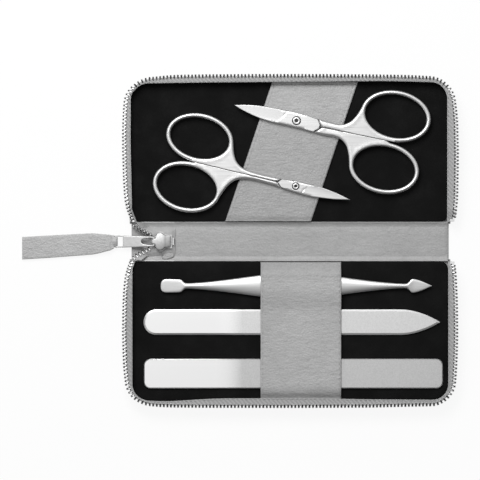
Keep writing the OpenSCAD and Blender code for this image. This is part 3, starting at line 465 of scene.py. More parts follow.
# Places round each half: 0 to 1 up the left side, to 2 round its corner, to 3
# along the far side, to 4 round the other corner and to 5 down the right side.
# reach is how far out the teeth end, spread how far out the lining shows
upperRim = {"drop": 10.0, "fold": -1.5, "foldRun": 5.0, "endRadius": 3.2,
            "reach": [(0, 0.6), (0.06, 2.0), (0.134, 3.35), (0.218, 3.95), (0.37, 4.4), (0.55, 4.7),
                      (0.744, 4.8), (0.954, 4.3), (1.18, 3.0), (1.45, 2.15), (1.7, 1.85), (2.0, 2.45),
                      (2.04, 3.1), (2.08, 3.6), (2.19, 3.85), (2.39, 4.0), (2.6, 4.0), (2.82, 3.8),
                      (2.94, 3.5), (3.0, 3.0), (3.38, 2.3), (3.74, 2.7), (4.0, 3.4), (4.14, 4.5), (4.45, 4.9),
                      (4.8, 4.6), (4.95, 3.8), (5.0, 3.2)],
            "spread": [(0, 0.1), (0.15, 0.2), (0.64, 0.8), (1.0, 0.75), (1.3, 0.55), (1.6, -0.2), (2.0, -0.3),
                       (2.19, 0.1), (2.39, 0.3), (2.65, 0.5), (2.82, 0.8), (2.95, 0.45), (3.0, 0.2),
                       (3.4, -0.1), (3.65, -0.5), (5.0, -0.5)]}
lowerRim = {"drop": 8.5, "fold": -0.5, "foldRun": 2.5, "endRadius": 1.6,
            "reach": [(0, 1.3), (0.074, 2.9), (0.15, 3.8), (0.234, 4.2), (0.3, 4.55), (0.6, 4.8), (0.87, 4.3),
                      (1.0, 3.4), (1.4, 2.4), (1.88, 1.95), (2.075, 3.3), (2.25, 3.45), (2.5, 3.5),
                      (2.78, 3.35), (2.96, 2.8), (3.33, 2.4), (3.75, 2.85), (4.05, 3.8), (4.2, 4.3),
                      (4.4, 4.6), (4.7, 4.4), (4.91, 3.8), (5.0, 3.2)],
            "spread": [(0, 0.0), (1.9, -0.05), (2.075, 0.45), (2.16, -0.35), (2.25, -0.95), (2.6, -1.0),
                       (2.77, -0.5), (2.98, -0.35), (3.5, -0.1), (4.0, 0.0), (5.0, 0.0)]}
halfLength = case["trayLength"] / 2
nearY = case["foldOffset"] + case["liningStart"]
farY = case["foldOffset"] + case["trayDepth"]
boardZ = case["leather"] + case["board"]
liningZ = boardZ + case["lining"]


def fromTable(place, table):  # straight lines between a table's values, with the bends smoothed
    values = np.interp(place, *np.array(table).T)
    return np.convolve(np.pad(values, 4, mode="edge"), np.ones(9) / 9, "valid")


def halfPath(spec):
    # Edge of one board, up the left side, round both far corners and down the right side, with the way
    # outwards, the teeth's reach and length, and where the wall stands: foot at the board, lean at the top
    r = case["cornerRadius"]
    sideCount, cornerCount, farCount = 70, 22, 100
    u = np.linspace(0, 1, sideCount) ** 1.3
    sideY = nearY + (farY - r - nearY) * u
    a = np.radians(np.linspace(0, 90, cornerCount)[1:])
    far = np.linspace(-1, 1, farCount)[1:]
    x = np.concatenate([np.full(sideCount, -halfLength), -halfLength + r * (1 - np.cos(a)),
                        far * (halfLength - r), halfLength - r * (1 - np.sin(a)),
                        np.full(sideCount - 1, halfLength)])
    y = np.concatenate([sideY, farY - r * (1 - np.sin(a)), np.full(farCount - 1, farY),
                        farY - r * (1 - np.cos(a)), sideY[::-1][1:]])
    way = np.radians(np.concatenate([np.full(sideCount, 180.0), 180 - np.degrees(a),
                                     np.full(farCount - 1, 90.0), 90 - np.degrees(a),
                                     np.zeros(sideCount - 1)]))
    turned = a / (math.pi / 2)
    place = np.concatenate([u, 1 + turned, 2.5 + far / 2, 3 + turned, 5 - u[::-1][1:]])
    left = x < 0
    rise = ease((y - nearY) / np.where(left, spec["drop"], 6.0))
    endZ = np.where(left, *zipRow["endHeight"])
    reach = fromTable(place, spec["reach"])
    spread = fromTable(place, spec["spread"])
    length = zipRow["farLength"] + (zipRow["sideLength"] - zipRow["farLength"]) * np.abs(np.cos(way)) ** 4
    drawnIn = np.where(left, spec["fold"], 0.0) * (1 - ease((y - nearY) / spec["foldRun"]))
    lean = case["rim"] + spread + drawnIn
    return {"x": x, "y": y, "way": way, "reach": reach, "z": endZ + (zipRow["height"] - endZ) * rise,
            "hem": (1 - rise) * case["hem"], "length": length, "spread": spread,
            "foot": 0.25 + np.maximum(spread, 0),
            "lean": np.minimum(lean, reach - length - 0.25)}


def rim(path, out, z):  # points that lie out past the lining's edge at height z
    return np.stack([path["x"] + out * np.cos(path["way"]), path["y"] + out * np.sin(path["way"]),
                     np.broadcast_to(z, path["x"].shape)], -1)


def mirrored(points, side):  # side -1 turns a piece of the upper half into one of the lower half
    return np.asarray(points) * (1, side, 1)


def wallPoints(path):
    # Leather wall: a closed section of an inner line, a lip
    # at the zip and an outer line, carried along the edge
    lean, foot = path["lean"], path["foot"]
    thick = np.minimum(case["wall"], path["reach"] - path["length"] - lean + 0.3)
    top = path["z"] - zipRow["tape"] / 2 - 0.03
    low, knee = case["leather"] + 0.05, liningZ + 0.15
    turn = top - case["lip"]
    # Height at each share of the way up: the wall bows out between its edges
    bulge = {t: t + 0.12 * np.sin(math.pi * t) for t in np.linspace(0, 1, 7)}
    rows = [rim(path, foot, low), rim(path, foot, (low + knee) / 2)]
    for t, rise in bulge.items():
        rows.append(rim(path, foot + (lean - foot) * t, knee + (turn - path["hem"] - knee) * rise))
    rows += [rim(path, lean - 0.06, (turn + top) / 2 - path["hem"] / 2), rim(path, lean, top),
             rim(path, lean + thick * 0.5, top + 0.02), rim(path, lean + thick, top),
             rim(path, lean + thick + 0.04, (turn + top) / 2)]
    outerFoot = foot + case["wall"]
    for t, rise in reversed(bulge.items()):
        place = outerFoot + (lean + thick - foot - case["wall"]) * t
        rows.append(rim(path, place, knee + path["hem"] + (turn - path["hem"] - knee) * rise))
    rows += [rim(path, outerFoot + 0.05, (low + knee) / 2), rim(path, outerFoot, low)]
    return np.stack(rows, 1)


def tapePoints(path):
    # Zip tape: a thin closed strip from the wall's top to the teeth, slightly cupped across
    a = path["lean"] - 0.1
    b = path["reach"] - path["length"] + 0.8
    half = zipRow["tape"] / 2
    rows = [rim(path, a + (b - a) * t, path["z"] + half - 0.12 * (1 - t) ** 2) for t in np.linspace(0, 1, 6)]
    rows += [rim(path, a + (b - a) * t, path["z"] - half) for t in np.linspace(1, 0, 6)]
    return np.stack(rows, 1)


def toothShape():
    # One tooth of length 1: two legs, a domed head and rounded flanks, as a side outline
    # carried across its width, with a trough sunk in its top. Two lists of faces painted dark
    # as shade go with it: for the far rows, and for the side rows, which the light meets from the other side
    h, w = zipRow["toothHeight"] / 2, zipRow["toothWidth"] / 2
    cup = [2, 3, 4, 5]
    side = np.array([[0, h * 0.7], [0.1, h], [0.17, h], [0.42, h], [0.6, h], [0.82, h * 0.97],
                     [0.92, h * 0.75], [1, h * 0.25], [1, -h * 0.3], [0.86, -h * 0.8], [0.62, -h],
                     [0.12, -h], [0, -h * 0.7]])
    slices = []
    for y, k, depth in [(-w, 0.62, 0), (-w * 0.62, 1.0, 0), (-w * 0.45, 1.0, 0.25), (w * 0.45, 1.0, 0.25),
                        (w * 0.62, 1.0, 0), (w, 0.62, 0)]:
        centre = np.array([0.5, 0])
        s = centre + (side - centre) * np.array([1 - (1 - k) * 0.3, k])
        s[cup, 1] -= depth
        slices.append(np.column_stack([s[:, 0], np.full(len(s), y), s[:, 1]]))
    n = len(side)
    farDark = [k * n + j for k, j in [(1, 2), (1, 3), (2, 1), (2, 2), (2, 3), (2, 4), (2, 5), (3, 2), (3, 3)]]
    sideDark = [k * n + j for k, j in [(0, 1), (0, 2), (0, 3), (4, 1), (4, 2), (4, 3), (2, 5), (2, 4)]]
    return np.vstack(slices), loftFaces(6, n), farDark, sideDark


def toothRow(roots, ways, lengths, first, last, side, sideStyle=0.8):
    # Teeth at equal steps along the roots' line, turned to the way outwards and tilted to the line's climb.
    # Those whose way is nearer the X axis than sideStyle, as a cosine, get the side rows' faces painted dark
    # as shade
    run = lengthAlong(roots)
    s = np.arange(first, run[-1] - last, zipRow["pitch"])
    at = pointsAt(s, run, roots)
    way = np.interp(s, run, np.unwrap(ways))
    length = np.interp(s, run, lengths)[:, None]
    ahead = pointsAt(s + 0.4, run, roots) - at
    climb = -side * np.arctan2(ahead[:, 2], np.linalg.norm(ahead[:, :2], axis=1) + 1e-9)
    shape, faces, farDark, sideDark = toothShape()
    y = shape[None, :, 1] * np.cos(climb)[:, None] - shape[None, :, 2] * np.sin(climb)[:, None]
    z = shape[None, :, 1] * np.sin(climb)[:, None] + shape[None, :, 2] * np.cos(climb)[:, None]
    x = shape[None, :, 0] * length
    c, d = np.cos(way)[:, None], np.sin(way)[:, None]
    points = np.stack([x * c - y * d, x * d + y * c, z], -1) + at[:, None]
    n = len(shape)
    allFaces = [[v + k * n for v in f] for k in range(len(s)) for f in faces]
    sideways = np.abs(np.cos(way)) > sideStyle

    def isDark(middles, index):
        own = index % len(faces)
        return np.where(sideways[index // len(faces)], np.isin(own, sideDark), np.isin(own, farDark))

    return points.reshape(-1, 3), allFaces, (paintedShadeNickel, isDark)


def stitches(line, up, pitch, length, width, lift=0.0):
    # Thread in equal stitches along a line: each a small hump whose ends dip into the leather
    run = lengthAlong(line)
    count = int(run[-1] / pitch)
    s0 = (np.arange(count) + 0.5) * run[-1] / count
    t = np.linspace(-0.5, 0.5, 5)
    s = s0[:, None] + t[None] * length
    at = pointsAt(s, run, line)
    ahead = pointsAt(s + 0.1, run, line) - pointsAt(s - 0.1, run, line)
    ahead /= np.linalg.norm(ahead, axis=-1, keepdims=True) + 1e-9
    across = np.cross(ahead, up)
    across /= np.linalg.norm(across, axis=-1, keepdims=True) + 1e-9
    above = np.cross(across, ahead)
    hump = (1 - (2 * t) ** 2) * width * 0.5 - width * 0.25 + lift
    round6 = np.radians(np.arange(0, 360, 60))
    thick = width / 2 * (1 - 0.45 * (2 * np.abs(t)) ** 3)
    points = (at[:, :, None] + above[:, :, None] * hump[None, :, None, None]
              + across[:, :, None] * (np.cos(round6)[None, None, :] * thick[None, :, None])[..., None]
              + above[:, :, None] * (np.sin(round6)[None, None, :] * thick[None, :, None])[..., None])
    faces = [[v + k * 30 for v in f] for k in range(count) for f in loftFaces(5, 6)]
    return points.reshape(-1, 3), faces


paths = {1: halfPath(upperRim), -1: halfPath(lowerRim)}
for side, half, spec in ((1, "upper", upperRim), (-1, "lower", lowerRim)):
    path = paths[side]
    body = half + "_half"
    points = wallPoints(path)
    wall = makePiece(half + "Wall", mirrored(points, side).reshape(-1, 3), loftFaces(*points.shape[:2]),
                     caseLeather, body)
    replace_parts(wall, half + "_wall")
    points = tapePoints(path)
    # On the left and right sides the tape's outer top faces take the painted shade between the teeth
    sideways = np.abs(np.cos(path["way"])) > 0.8
    tape = makePiece(half + "Tape", mirrored(points, side).reshape(-1, 3), loftFaces(*points.shape[:2]),
                     tapeCloth, body,
                     second=(tapeGapShade, lambda middles, index:
                             (index % 12 == 4) & sideways[np.minimum(index // 12, len(sideways) - 1)]))
    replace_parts(tape, half + "_zip_tape")
    roots = rim(path, path["reach"] - path["length"], path["z"])
    points, faces, toothShade = toothRow(roots, path["way"], path["length"], 0.6, 1.8, 1)
    teeth = makePiece(half + "Teeth", mirrored(points, side), faces, zipNickel, body, sharp=50, second=toothShade)
    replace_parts(teeth, half + "_zip_teeth")
    seam = rim(path, path["lean"] + 0.35, path["z"] + zipRow["tape"] / 2 - 0.03)[4:-4]
    points, faces = stitches(seam, (0, 0, 1), 2.1, 1.5, 0.32)
    sewing = makePiece(half + "TapeStitches", mirrored(points, side), faces, thread, body)
    # Lining: flat, cut round at the spine, and reaching a little
    # further out where the case has been pulled wide
    r = spec["endRadius"]
    a = np.radians(np.linspace(0, 90, 10))
    leftEnd = np.stack([-halfLength + r * (1 - np.cos(a)), nearY + r * (1 - np.sin(a))], 1)
    r = case["endRadius"]
    rightEnd = np.stack([halfLength - r * (1 - np.cos(a)), nearY + r * (1 - np.sin(a))], 1)[::-1]
    edge = rim(path, np.maximum(path["spread"], 0) * 1.1, 0)[:, :2]
    edge = edge[edge[:, 1] > nearY + case["endRadius"]]
    outline = evenly(np.vstack([leftEnd[::-1], edge, rightEnd[::-1]]), 1.2, True)
    points, faces = plateShell([outline], [0.15, 0.4, 0.9], 3.0,
                               lambda x, y, d: liningZ - 0.35 * (1 - roundEdge(d, 0.9))
                               + 0.03 * np.sin(x / 9) * np.sin(y / 7),
                               lambda x, y, d: boardZ + 0.02 + 0 * x)
    lining = makePiece(half + "Lining", mirrored(points, side), faces, blackLining, body)
    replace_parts(lining, half + "_lining")
print("case halves made")

# Zip tails, from the walls to the slider

mouth = np.array([-63.6, 3.9, 3.2])  # where the rows enter the slider
tailSheet = {"half": 0.2, "belly": 0.35, "foot": 8.55, "footEnd": 6.8, "footHeight": 1.95, "spineTop": 1.6,
             # Its section beside the slider, and the share of its height left at each place behind
             "across": [(1.35, 3.2), (2.6, 3.2), (4.2, 3.15), (4.9, 3.0), (5.6, 2.6), (6.3, 2.05),
                        (6.9, 1.6)],
             "behind": [(-61.5, 1), (-59, 1), (-56.5, 1), (-54.9, 1), (-54.2, 0.8), (-53.5, 0.55),
                        (-53.0, 0.4)]}
tailCount = 26
u = np.linspace(0, 1, tailCount)[:, None]
w = u[:, 0]
for side, half in ((1, "upper"), (-1, "lower")):
    tailEnd = rim(paths[side], paths[side]["reach"] - paths[side]["length"], paths[side]["z"])[0]
    tailBend = np.array([tailEnd[0] + 2.6, 6.4, tailEnd[2] * 0.4 + mouth[2] * 0.6])
    tailLine = (1 - u) ** 2 * (tailEnd - (0, 0.4, 0)) + 2 * u * (1 - u) * tailBend + u**2 * mouth
    tailRun = np.gradient(tailLine, axis=0)
    tailWay = np.arctan2(tailRun[:, 1], tailRun[:, 0]) - math.pi / 2
    points, faces, toothShade = toothRow(tailLine, tailWay, np.full(tailCount, 2.2), 0.5, 0.3, -1, -1.0)
    teeth = makePiece(half + "TailTeeth", mirrored(points, side), faces, zipNickel, None, sharp=50,
                      second=toothShade)
    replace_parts(teeth, half + "_tail_teeth")
    front = tailLine + 0.8 * np.stack([np.cos(tailWay), np.sin(tailWay), 0 * w], 1)
    foot, footEnd = tailSheet["foot"], tailSheet["footEnd"]
    back = np.stack([(tailEnd[0] + 3) * (1 - w) + (mouth[0] + 0.5) * w, foot + (footEnd - foot) * ease(w * 2),
                     tailEnd[2] + (tailSheet["footHeight"] - tailEnd[2]) * ease(w * 1.3)], 1)
    rows = []
    for face, places in ((1, np.linspace(0, 1, 7)), (-1, np.linspace(1, 0, 7))):  # top, then underside
        for t in places:
            belly = np.outer(tailSheet["belly"] * ease(w) * math.sin(math.pi * t), (0, 0, 1))
            rows.append(front * (1 - t) + back * t + face * np.array([0, 0, tailSheet["half"]]) + belly)
    sheet = np.stack(rows, 1)
    # Beside the slider the tape lies flat, and behind it drops to the spine's leather
    across = np.array([(0, y, z) for y, z in tailSheet["across"]])
    beside = []
    for x, low in tailSheet["behind"]:
        line = across * (1, 1, low) + (x, 0, tailSheet["spineTop"] * (1 - low))
        beside.append(np.vstack([line + (0, 0, tailSheet["half"]), line[::-1] - (0, 0, tailSheet["half"])]))
    sheet = np.vstack([sheet, np.array(beside)])
    tail = makePiece(half + "Tail", mirrored(sheet, side).reshape(-1, 3), loftFaces(*sheet.shape[:2]),
                     spineLeather, None)
    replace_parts(tail, half + "_zip_tail")
    for piece in (teeth, tail):  # both keep their place, baked into their meshes
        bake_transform(piece)
print("zip tails made")

# Spine

spine = {"left": -53.25, "right": 72.8, "halfWidth": 7.0, "base": 1.22, "thickness": 1.0,
         "seam": (-52.2, -50.5, -6.0, 5.2)}


def spineLiner():
    # Inner leather of the spine: a low cushion, sewn down at the slider and drawn in at its right end
    x = np.linspace(spine["left"], spine["right"], 200)
    t = np.linspace(-1, 1, 41)
    gridX, gridT = np.meshgrid(x, t, indexing="ij")
    inward = 0.5 * np.exp(-(spine["right"] - gridX) / 2.0)
    gridY = gridT * (spine["halfWidth"] - inward)
    body = spine["thickness"] * (1 - 0.22 * np.abs(gridT) ** 3)
    front, rear = (np.exp(-((gridX - place) / 0.35) ** 2) for place in spine["seam"][:2])
    sunk = 0.12 * (front + rear) * ((gridY > spine["seam"][2] - 0.3) & (gridY < spine["seam"][3] + 0.3))
    atLeft = 1 - ease((gridX - spine["left"]) / 0.5)
    atRight = 1 - ease((spine["right"] - gridX) / 1.2)
    ends = 1 - 0.5 * atLeft - 0.5 * atRight
    wave = 0.05 * np.sin(gridX / 7.5 + 2 * gridT) + 0.04 * np.sin(gridX / 3.1 - 3 * gridT)
    thick = (body - sunk) * ends + wave * (1 - gridT**2)
    top = spine["base"] + np.clip(thick, 0.12, spine["thickness"] - 0.02)
    upper = np.stack([gridX, gridY, top], -1)
    lower = np.stack([gridX, gridY, np.full_like(gridX, spine["base"])], -1)
    points = np.concatenate([upper, lower[:, ::-1]], 1)
    return points.reshape(-1, 3), loftFaces(len(x), 2 * len(t))


points, faces = spineLiner()
liner = makePiece("spineLiner", points, faces, spineLeather, "spine")
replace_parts(liner, "spine_liner")
x0, x1, y0, y1 = spine["seam"]
seamLine = evenly(np.array([[x0, y1], [x1, y1], [x1, y0], [x0, y0], [x0, y1]]), 0.3)
seamLine = np.column_stack([seamLine, np.full(len(seamLine), spine["base"] + 0.74)])
points, faces = stitches(seamLine, (0, 0, 1), 1.6, 1.15, 0.34)
makePiece("spineStitches", points, faces, thread, "spine")

foldStrip = {"left": -72.9, "right": 72.6, "thickness": 0.28, "base": 1.25, "leftDrop": -70.0,
             "pipingFrom": 8.5, "pipingTo": -53.8,
             "section": [(6.2, 1.98), (6.8, 2.03), (7.4, 2.16), (8.0, 2.42), (8.4, 2.7), (8.7, 2.95),
                         (8.92, 3.04), (9.06, 2.95), (9.12, 2.6)]}


def foldStripShell():
    # Leather that crosses a fold, from the spine up to the tray's edge, where it is turned into a narrow roll
    section = smoothLine(foldStrip["section"], 0.12)
    run = unitRows(np.gradient(section, axis=0))
    inner = section - np.stack([-run[:, 1], run[:, 0]], 1) * foldStrip["thickness"]
    ring = np.vstack([section, inner[::-1]])
    x = np.linspace(foldStrip["left"], foldStrip["right"], 150)
    gridX, gridRow = np.meshgrid(x, np.arange(len(ring)), indexing="ij")
    ripple = 0.03 * np.sin(gridX / 6) * np.sin(gridX / 2.3)
    drop = 0.9 * (1 - ease((gridX - foldStrip["leftDrop"]) / 3)) + ripple
    height = foldStrip["base"] + (ring[gridRow, 1] - foldStrip["base"]) * (1 - 0.6 * np.clip(drop, 0, 1))
    points = np.stack([gridX, ring[gridRow, 0], height], -1)
    return points.reshape(-1, 3), loftFaces(len(x), len(ring))


def isPiping(middles, index):  # the faces of the roll beside the slider, which take the painted highlight
    return (np.abs(middles[:, 1]) > foldStrip["pipingFrom"]) & (middles[:, 0] < foldStrip["pipingTo"])


points, faces = foldStripShell()
for side, half in ((1, "upper"), (-1, "lower")):
    strip = makePiece(half + "FoldStrip", mirrored(points, side), faces, spineLeather, None,
                      second=(pipingPaintedHighlight, isPiping))
    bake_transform(strip)

# The tape's end, turned under and sewn: a rounded pad with a furrow one seam in from its edge
turnedTape = {"base": 2.3, "rise": 0.75, "seam": 1.0, "furrow": 0.25,
              "outline": [(-58.8, -8.0), (-58.9, -7.0), (-57.8, -5.6), (-56.2, -5.0), (-54.2, -5.2),
                          (-53.4, -6.0), (-53.9, -7.2), (-55.6, -8.0), (-57.4, -8.4)]}
outline = smoothLine(turnedTape["outline"], 0.3, True)
points, faces = plateShell([outline], [0.05, 0.2, 0.45], 0.4,
                           lambda x, y, d: turnedTape["base"] + 0.15 + turnedTape["rise"] * roundEdge(d, 0.9)
                           - turnedTape["furrow"] * np.exp(-((d - turnedTape["seam"]) / 0.22) ** 2),
                           lambda x, y, d: turnedTape["base"] + 0 * x)
turnedEnd = makePiece("turnedTapeEnd", points, faces, spineLeather, None)
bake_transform(turnedEnd)
print("spine made")

# Panel under the scissors, band over the tools

panel = {"width": 39.5, "slant": 18.6, "middle": 0.6, "near": 9.35, "run": 63.75, "thickness": 1.6,
         "seam": 1.5, "turnedUp": 3.3, "bend": 0.5}


def panelPlace(across, along):
    # Point of the slanted panel: across from -1 to 1, along in millimetres from its end at the spine
    slope = math.tan(math.radians(panel["slant"]))
    x = panel["middle"] - panel["run"] * slope / 2 + along * slope + across * panel["width"] / 2
    edge = (1 - np.abs(across)) * panel["width"] / 2
    ends = np.minimum(along, panel["run"] - along)
    crown = panel["thickness"] * (0.5 + 0.5 * roundEdge(edge, 1.1)) * (0.6 + 0.4 * ease(ends / 2.5))
    sewn = 0.14 * np.exp(-((edge - panel["seam"]) / 0.35) ** 2)
    wave = 0.03 * np.sin(along / 5.5 + across * 3) + 0.025 * np.sin(along / 2.7 - across * 5)
    # Its far end is turned up the wall
    climb = panel["turnedUp"] * np.clip((along - panel["run"] + panel["bend"]) / panel["bend"], 0, 1)
    thick = np.minimum(crown - sewn + wave * ease(edge / 4), panel["thickness"] - 0.03)
    return x, panel["near"] + along, liningZ + 0.02 + thick + climb


def panelShell():
    # Its top from panelPlace, over a level underside. Points
    # crowd towards the edges, and at the turned-up end
    across = np.sin(np.linspace(-1, 1, 61) * math.pi / 2)
    along = np.append(np.linspace(0, panel["run"] - panel["bend"], 118),
                      panel["run"] - panel["bend"] * np.array([0.5, 0.0]))
    gridAlong, gridAcross = np.meshgrid(along, across, indexing="ij")
    x, y, z = panelPlace(gridAcross, gridAlong)
    upper = np.stack([x, y, z], -1)
    lower = np.stack([x, y, np.full_like(x, liningZ + 0.02)], -1)
    points = np.concatenate([upper, lower[:, ::-1]], 1)
    return points.reshape(-1, 3), loftFaces(len(along), 2 * len(across))


points, faces = panelShell()
scissorPanel = makePiece("scissorPanel", points, faces, panelLeather, "upper_half")
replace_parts(scissorPanel, "scissor_panel")
for k, sign in enumerate((-1, 1)):
    along = np.linspace(1.2, panel["run"] - 1.2, 160)
    across = np.full(160, sign * (1 - 2 * panel["seam"] / panel["width"]))
    line = np.stack(panelPlace(across, along), 1)
    points, faces = stitches(line, (0, 0, 1), 2.3, 1.6, 0.3, 0.05)
    makePiece("panelStitches%d" % k, points, faces, thread, "upper_half")

# under is the band's under line: distance from the spine's
# middle, and height. seamColumns are where its seams run
band = {"width": 37.1, "middle": 4.9, "thickness": 1.0, "seam": 1.3, "seamColumns": (5, 43),
        "under": [(9.4, 3.3), (10.4, 3.32), (14.4, 5.9), (17.0, 6.42), (19.2, 6.56), (21.6, 6.56),
                  (23.8, 6.42), (26.6, 5.9), (31.2, 4.98), (37.1, 4.92), (49.0, 4.92), (60.8, 4.92),
                  (68.0, 4.87), (71.3, 3.5), (72.6, 3.3)]}
bandLine = smoothLine(band["under"], 0.45)


def bandShell():
    # Leather strip carried over the tools: its under line
    # lifted by its thickness, with rounded, sewn long edges
    run = unitRows(np.gradient(bandLine, axis=0))
    normal = np.stack([-run[:, 1], run[:, 0]], 1)
    t = np.sin(np.linspace(-1, 1, 49) * math.pi / 2)
    station, gridT = np.meshgrid(np.arange(len(bandLine)), t, indexing="ij")
    edge = (1 - np.abs(gridT)) * band["width"] / 2
    sewn = 0.1 * np.exp(-((edge - band["seam"]) / 0.3) ** 2)
    lift = band["thickness"] * (0.35 + 0.65 * roundEdge(edge, 0.9)) - sewn
    sag = 0.10 * np.sin(bandLine[station, 0] / 3.4 + gridT * 2) * 0.4 * (1 - gridT**2)
    x = band["middle"] + gridT * band["width"] / 2
    upper = np.stack([x, -(bandLine[station, 0] + normal[station, 0] * lift),
                      bandLine[station, 1] + normal[station, 1] * lift + np.minimum(sag, 0.0)], -1)
    lower = np.stack([x, -bandLine[station, 0], bandLine[station, 1] + 0.02], -1)
    points = np.concatenate([upper, lower[:, ::-1]], 1)
    return points.reshape(-1, 3), loftFaces(len(bandLine), 2 * len(t)), upper


points, faces, bandTop = bandShell()
toolBand = makePiece("toolBand", points, faces, bandLeather, "lower_half")
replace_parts(toolBand, "tool_band")
for k, column in enumerate(band["seamColumns"]):
    points, faces = stitches(bandTop[4:-4, column], (0, 0, 1), 2.3, 1.6, 0.3, 0.03)
    makePiece("bandStitches%d" % k, points, faces, thread, "lower_half")
print("panel and band made")

# Scissors

jointZ = 6.2
wireRadius = 1.05
splitGap = 0.06
nailScissors = {
    "pivot": (2.85, 55.5), "turn": 168.3, "split": 0.5, "tip": (29.5, -1.3),
    "minusEdge": [(25.1, -2.4), (19.8, -3.2), (15.6, -3.5), (11.2, -3.6), (3.8, -3.8), (-1.6, -3.7),
                  (-9.7, -2.75)],
    "plusEdge": [(26.4, 0.0), (22.5, 1.1), (18.8, 2.0), (15.8, 2.5), (11.4, 2.8), (4.2, 2.95), (-3, 3.1),
                 (-8.4, 3.5)],
    "apex": (-11.5, 0.45), "minusShoulder": (-9.7, -2.4), "plusShoulder": (-8.6, 3.5),
    "minus": {"hole": (-44.3, -11.3), "semi": (14.2, 9.76),
              "neck": [(-9.7, -2.75), (-16.3, -2.35), (-20.6, -2.5), (-24.0, -4.4), (-26.4, -7.9),
                       (-27.9, -11.9)], "leave": -12},
    "plus": {"hole": (-43.8, 13.1), "semi": (14.25, 9.75),
             "neck": [(-8.6, 3.5), (-13.6, 3.9), (-18.4, 3.7), (-21.9, 4.4), (-24.6, 6.6), (-26.4, 10.3),
                      (-27.4, 13.6)], "leave": 14},
    "crease": [(4.5, -4.2), (4.75, -3.4), (5.7, -1.4), (6.2, -0.35), (7.2, 1.0), (8.6, 2.0), (11.0, 2.7),
               (13.5, 3.2)], "head": 2.0, "shoulderGap": 0.4}
cuticleScissors = {
    "pivot": (2.5, 25.4), "turn": -13.5, "split": 0.0, "tip": (25.9, -0.2),
    "minusEdge": [(21.5, -1.15), (16.7, -2.0), (9, -2.85), (3.1, -2.85), (-2.8, -2.5), (-6.9, -2.0)],
    "plusEdge": [(19.7, 1.25), (12.5, 2.25), (7.8, 2.35), (-0.1, 2.3), (-6.9, 1.85)],
    "apex": (-8.6, 0.0), "minusShoulder": (-6.9, -1.7), "plusShoulder": (-6.9, 1.8),
    "minus": {"hole": (-48.65, -11.9), "semi": (13.8, 9.5),
              "neck": [(-6.9, -2.0), (-12.5, -1.75), (-18.4, -1.65), (-23.7, -2.2), (-27.2, -3.6),
                       (-29.8, -6.3), (-31.5, -9.6), (-32.9, -13.3)], "leave": -10},
    "plus": {"hole": (-48.1, 11.3), "semi": (13.6, 9.17),
             "neck": [(-6.9, 1.85), (-12, 1.6), (-17, 1.55), (-22.2, 1.85), (-26.0, 2.7), (-28.9, 4.6),
                      (-30.8, 7.6), (-32.1, 11.4)], "leave": 12},
    "crease": [(2.5, -3.4), (2.7, -2.6), (3.2, -0.8), (4.3, 0.4), (6.0, 1.25), (9.5, 2.1), (12.0, 2.6)],
    "head": 1.65, "shoulderGap": 0.2}


def placed(points, spec):
    # From the scissors' own axes, with the screw at the origin and the tips along X, to the shared frame
    c, s = math.cos(math.radians(spec["turn"])), math.sin(math.radians(spec["turn"]))
    x, y, z = np.asarray(points).T
    return np.stack([spec["pivot"][0] + x * c - y * s, spec["pivot"][1] + x * s + y * c, z + jointZ], 1)


def shankLoops(spec, sign):
    # Outline of a shank with its finger ring: the neck curve
    # runs into an ellipse, and the split line closes it
    ring = spec["plus" if sign > 0 else "minus"]
    centre, semi = np.array(ring["hole"]), np.array(ring["semi"])
    outer = semi + 2 * wireRadius
    phi = np.linspace(math.radians(ring["leave"]), math.radians(sign * 268), 90)
    oval = centre + outer * np.stack([np.cos(phi), np.sin(phi)], 1)
    split = spec["split"] + sign * splitGap
    oval[:, 1] = np.maximum(oval[:, 1], split) if sign > 0 else np.minimum(oval[:, 1], split)
    neck = smoothLine(ring["neck"] + [tuple(oval[0]), tuple(oval[3])], 0.45)
    neck = neck[:-3]
    gap = np.array([spec["shoulderGap"] if sign > 0 else 0.02, 0.0])
    line = np.vstack([neck, oval[1:], [[oval[-1, 0] + 1.5, split]],
                      [np.array([spec["apex"][0], split]) - gap],
                      [np.array(spec["minusShoulder" if sign < 0 else "plusShoulder"]) - gap]])
    if sign > 0:
        line[0] = line[-1]
    outline = evenly(line, 0.5, True)
    phi = np.linspace(0, 2 * math.pi, 150, endpoint=False)
    return [outline, centre + semi * np.stack([np.cos(phi), np.sin(phi)], 1)]


def bladeLoops(spec, sign):
    # Outline of the joint plate and blade, from the V at the shoulder round the tip, and
    # of the screw's hole. The rear plate is a little smaller and runs back under its shank
    lower = smoothLine([spec["tip"]] + spec["minusEdge"], 0.5)
    upper = smoothLine([spec["tip"]] + spec["plusEdge"], 0.5)[::-1]
    back = [spec["minusEdge"][-1], spec["minusShoulder"], spec["apex"], spec["plusShoulder"]]
    hole = spec["head"]
    if sign > 0:
        ax, ay = spec["apex"]
        px, py = spec["plusShoulder"]
        back = [spec["minusEdge"][-1], spec["minusShoulder"], spec["apex"], (ax - 2.2, ay + 0.35),
                (px - 3.0, py - 0.35), (px - 1.0, py)]
        hole = spec["head"] * 0.5 + 0.05
    loop = np.vstack([upper[:-1], lower[:-1], evenly(np.array(back), 0.5)])
    keep = np.linalg.norm(np.roll(loop, -1, 0) - loop, axis=1) > 0.05
    loop = loop[keep]
    if sign > 0:
        loop[:, 1] *= np.where(loop[:, 0] > -6, 0.96, 1.0)
        loop[:, 0] -= np.where(loop[:, 0] > 20, 0.15, 0.0)
    a = np.linspace(0, 2 * math.pi, 48, endpoint=False)
    return [loop, hole * np.stack([np.cos(a), np.sin(a)], 1)]


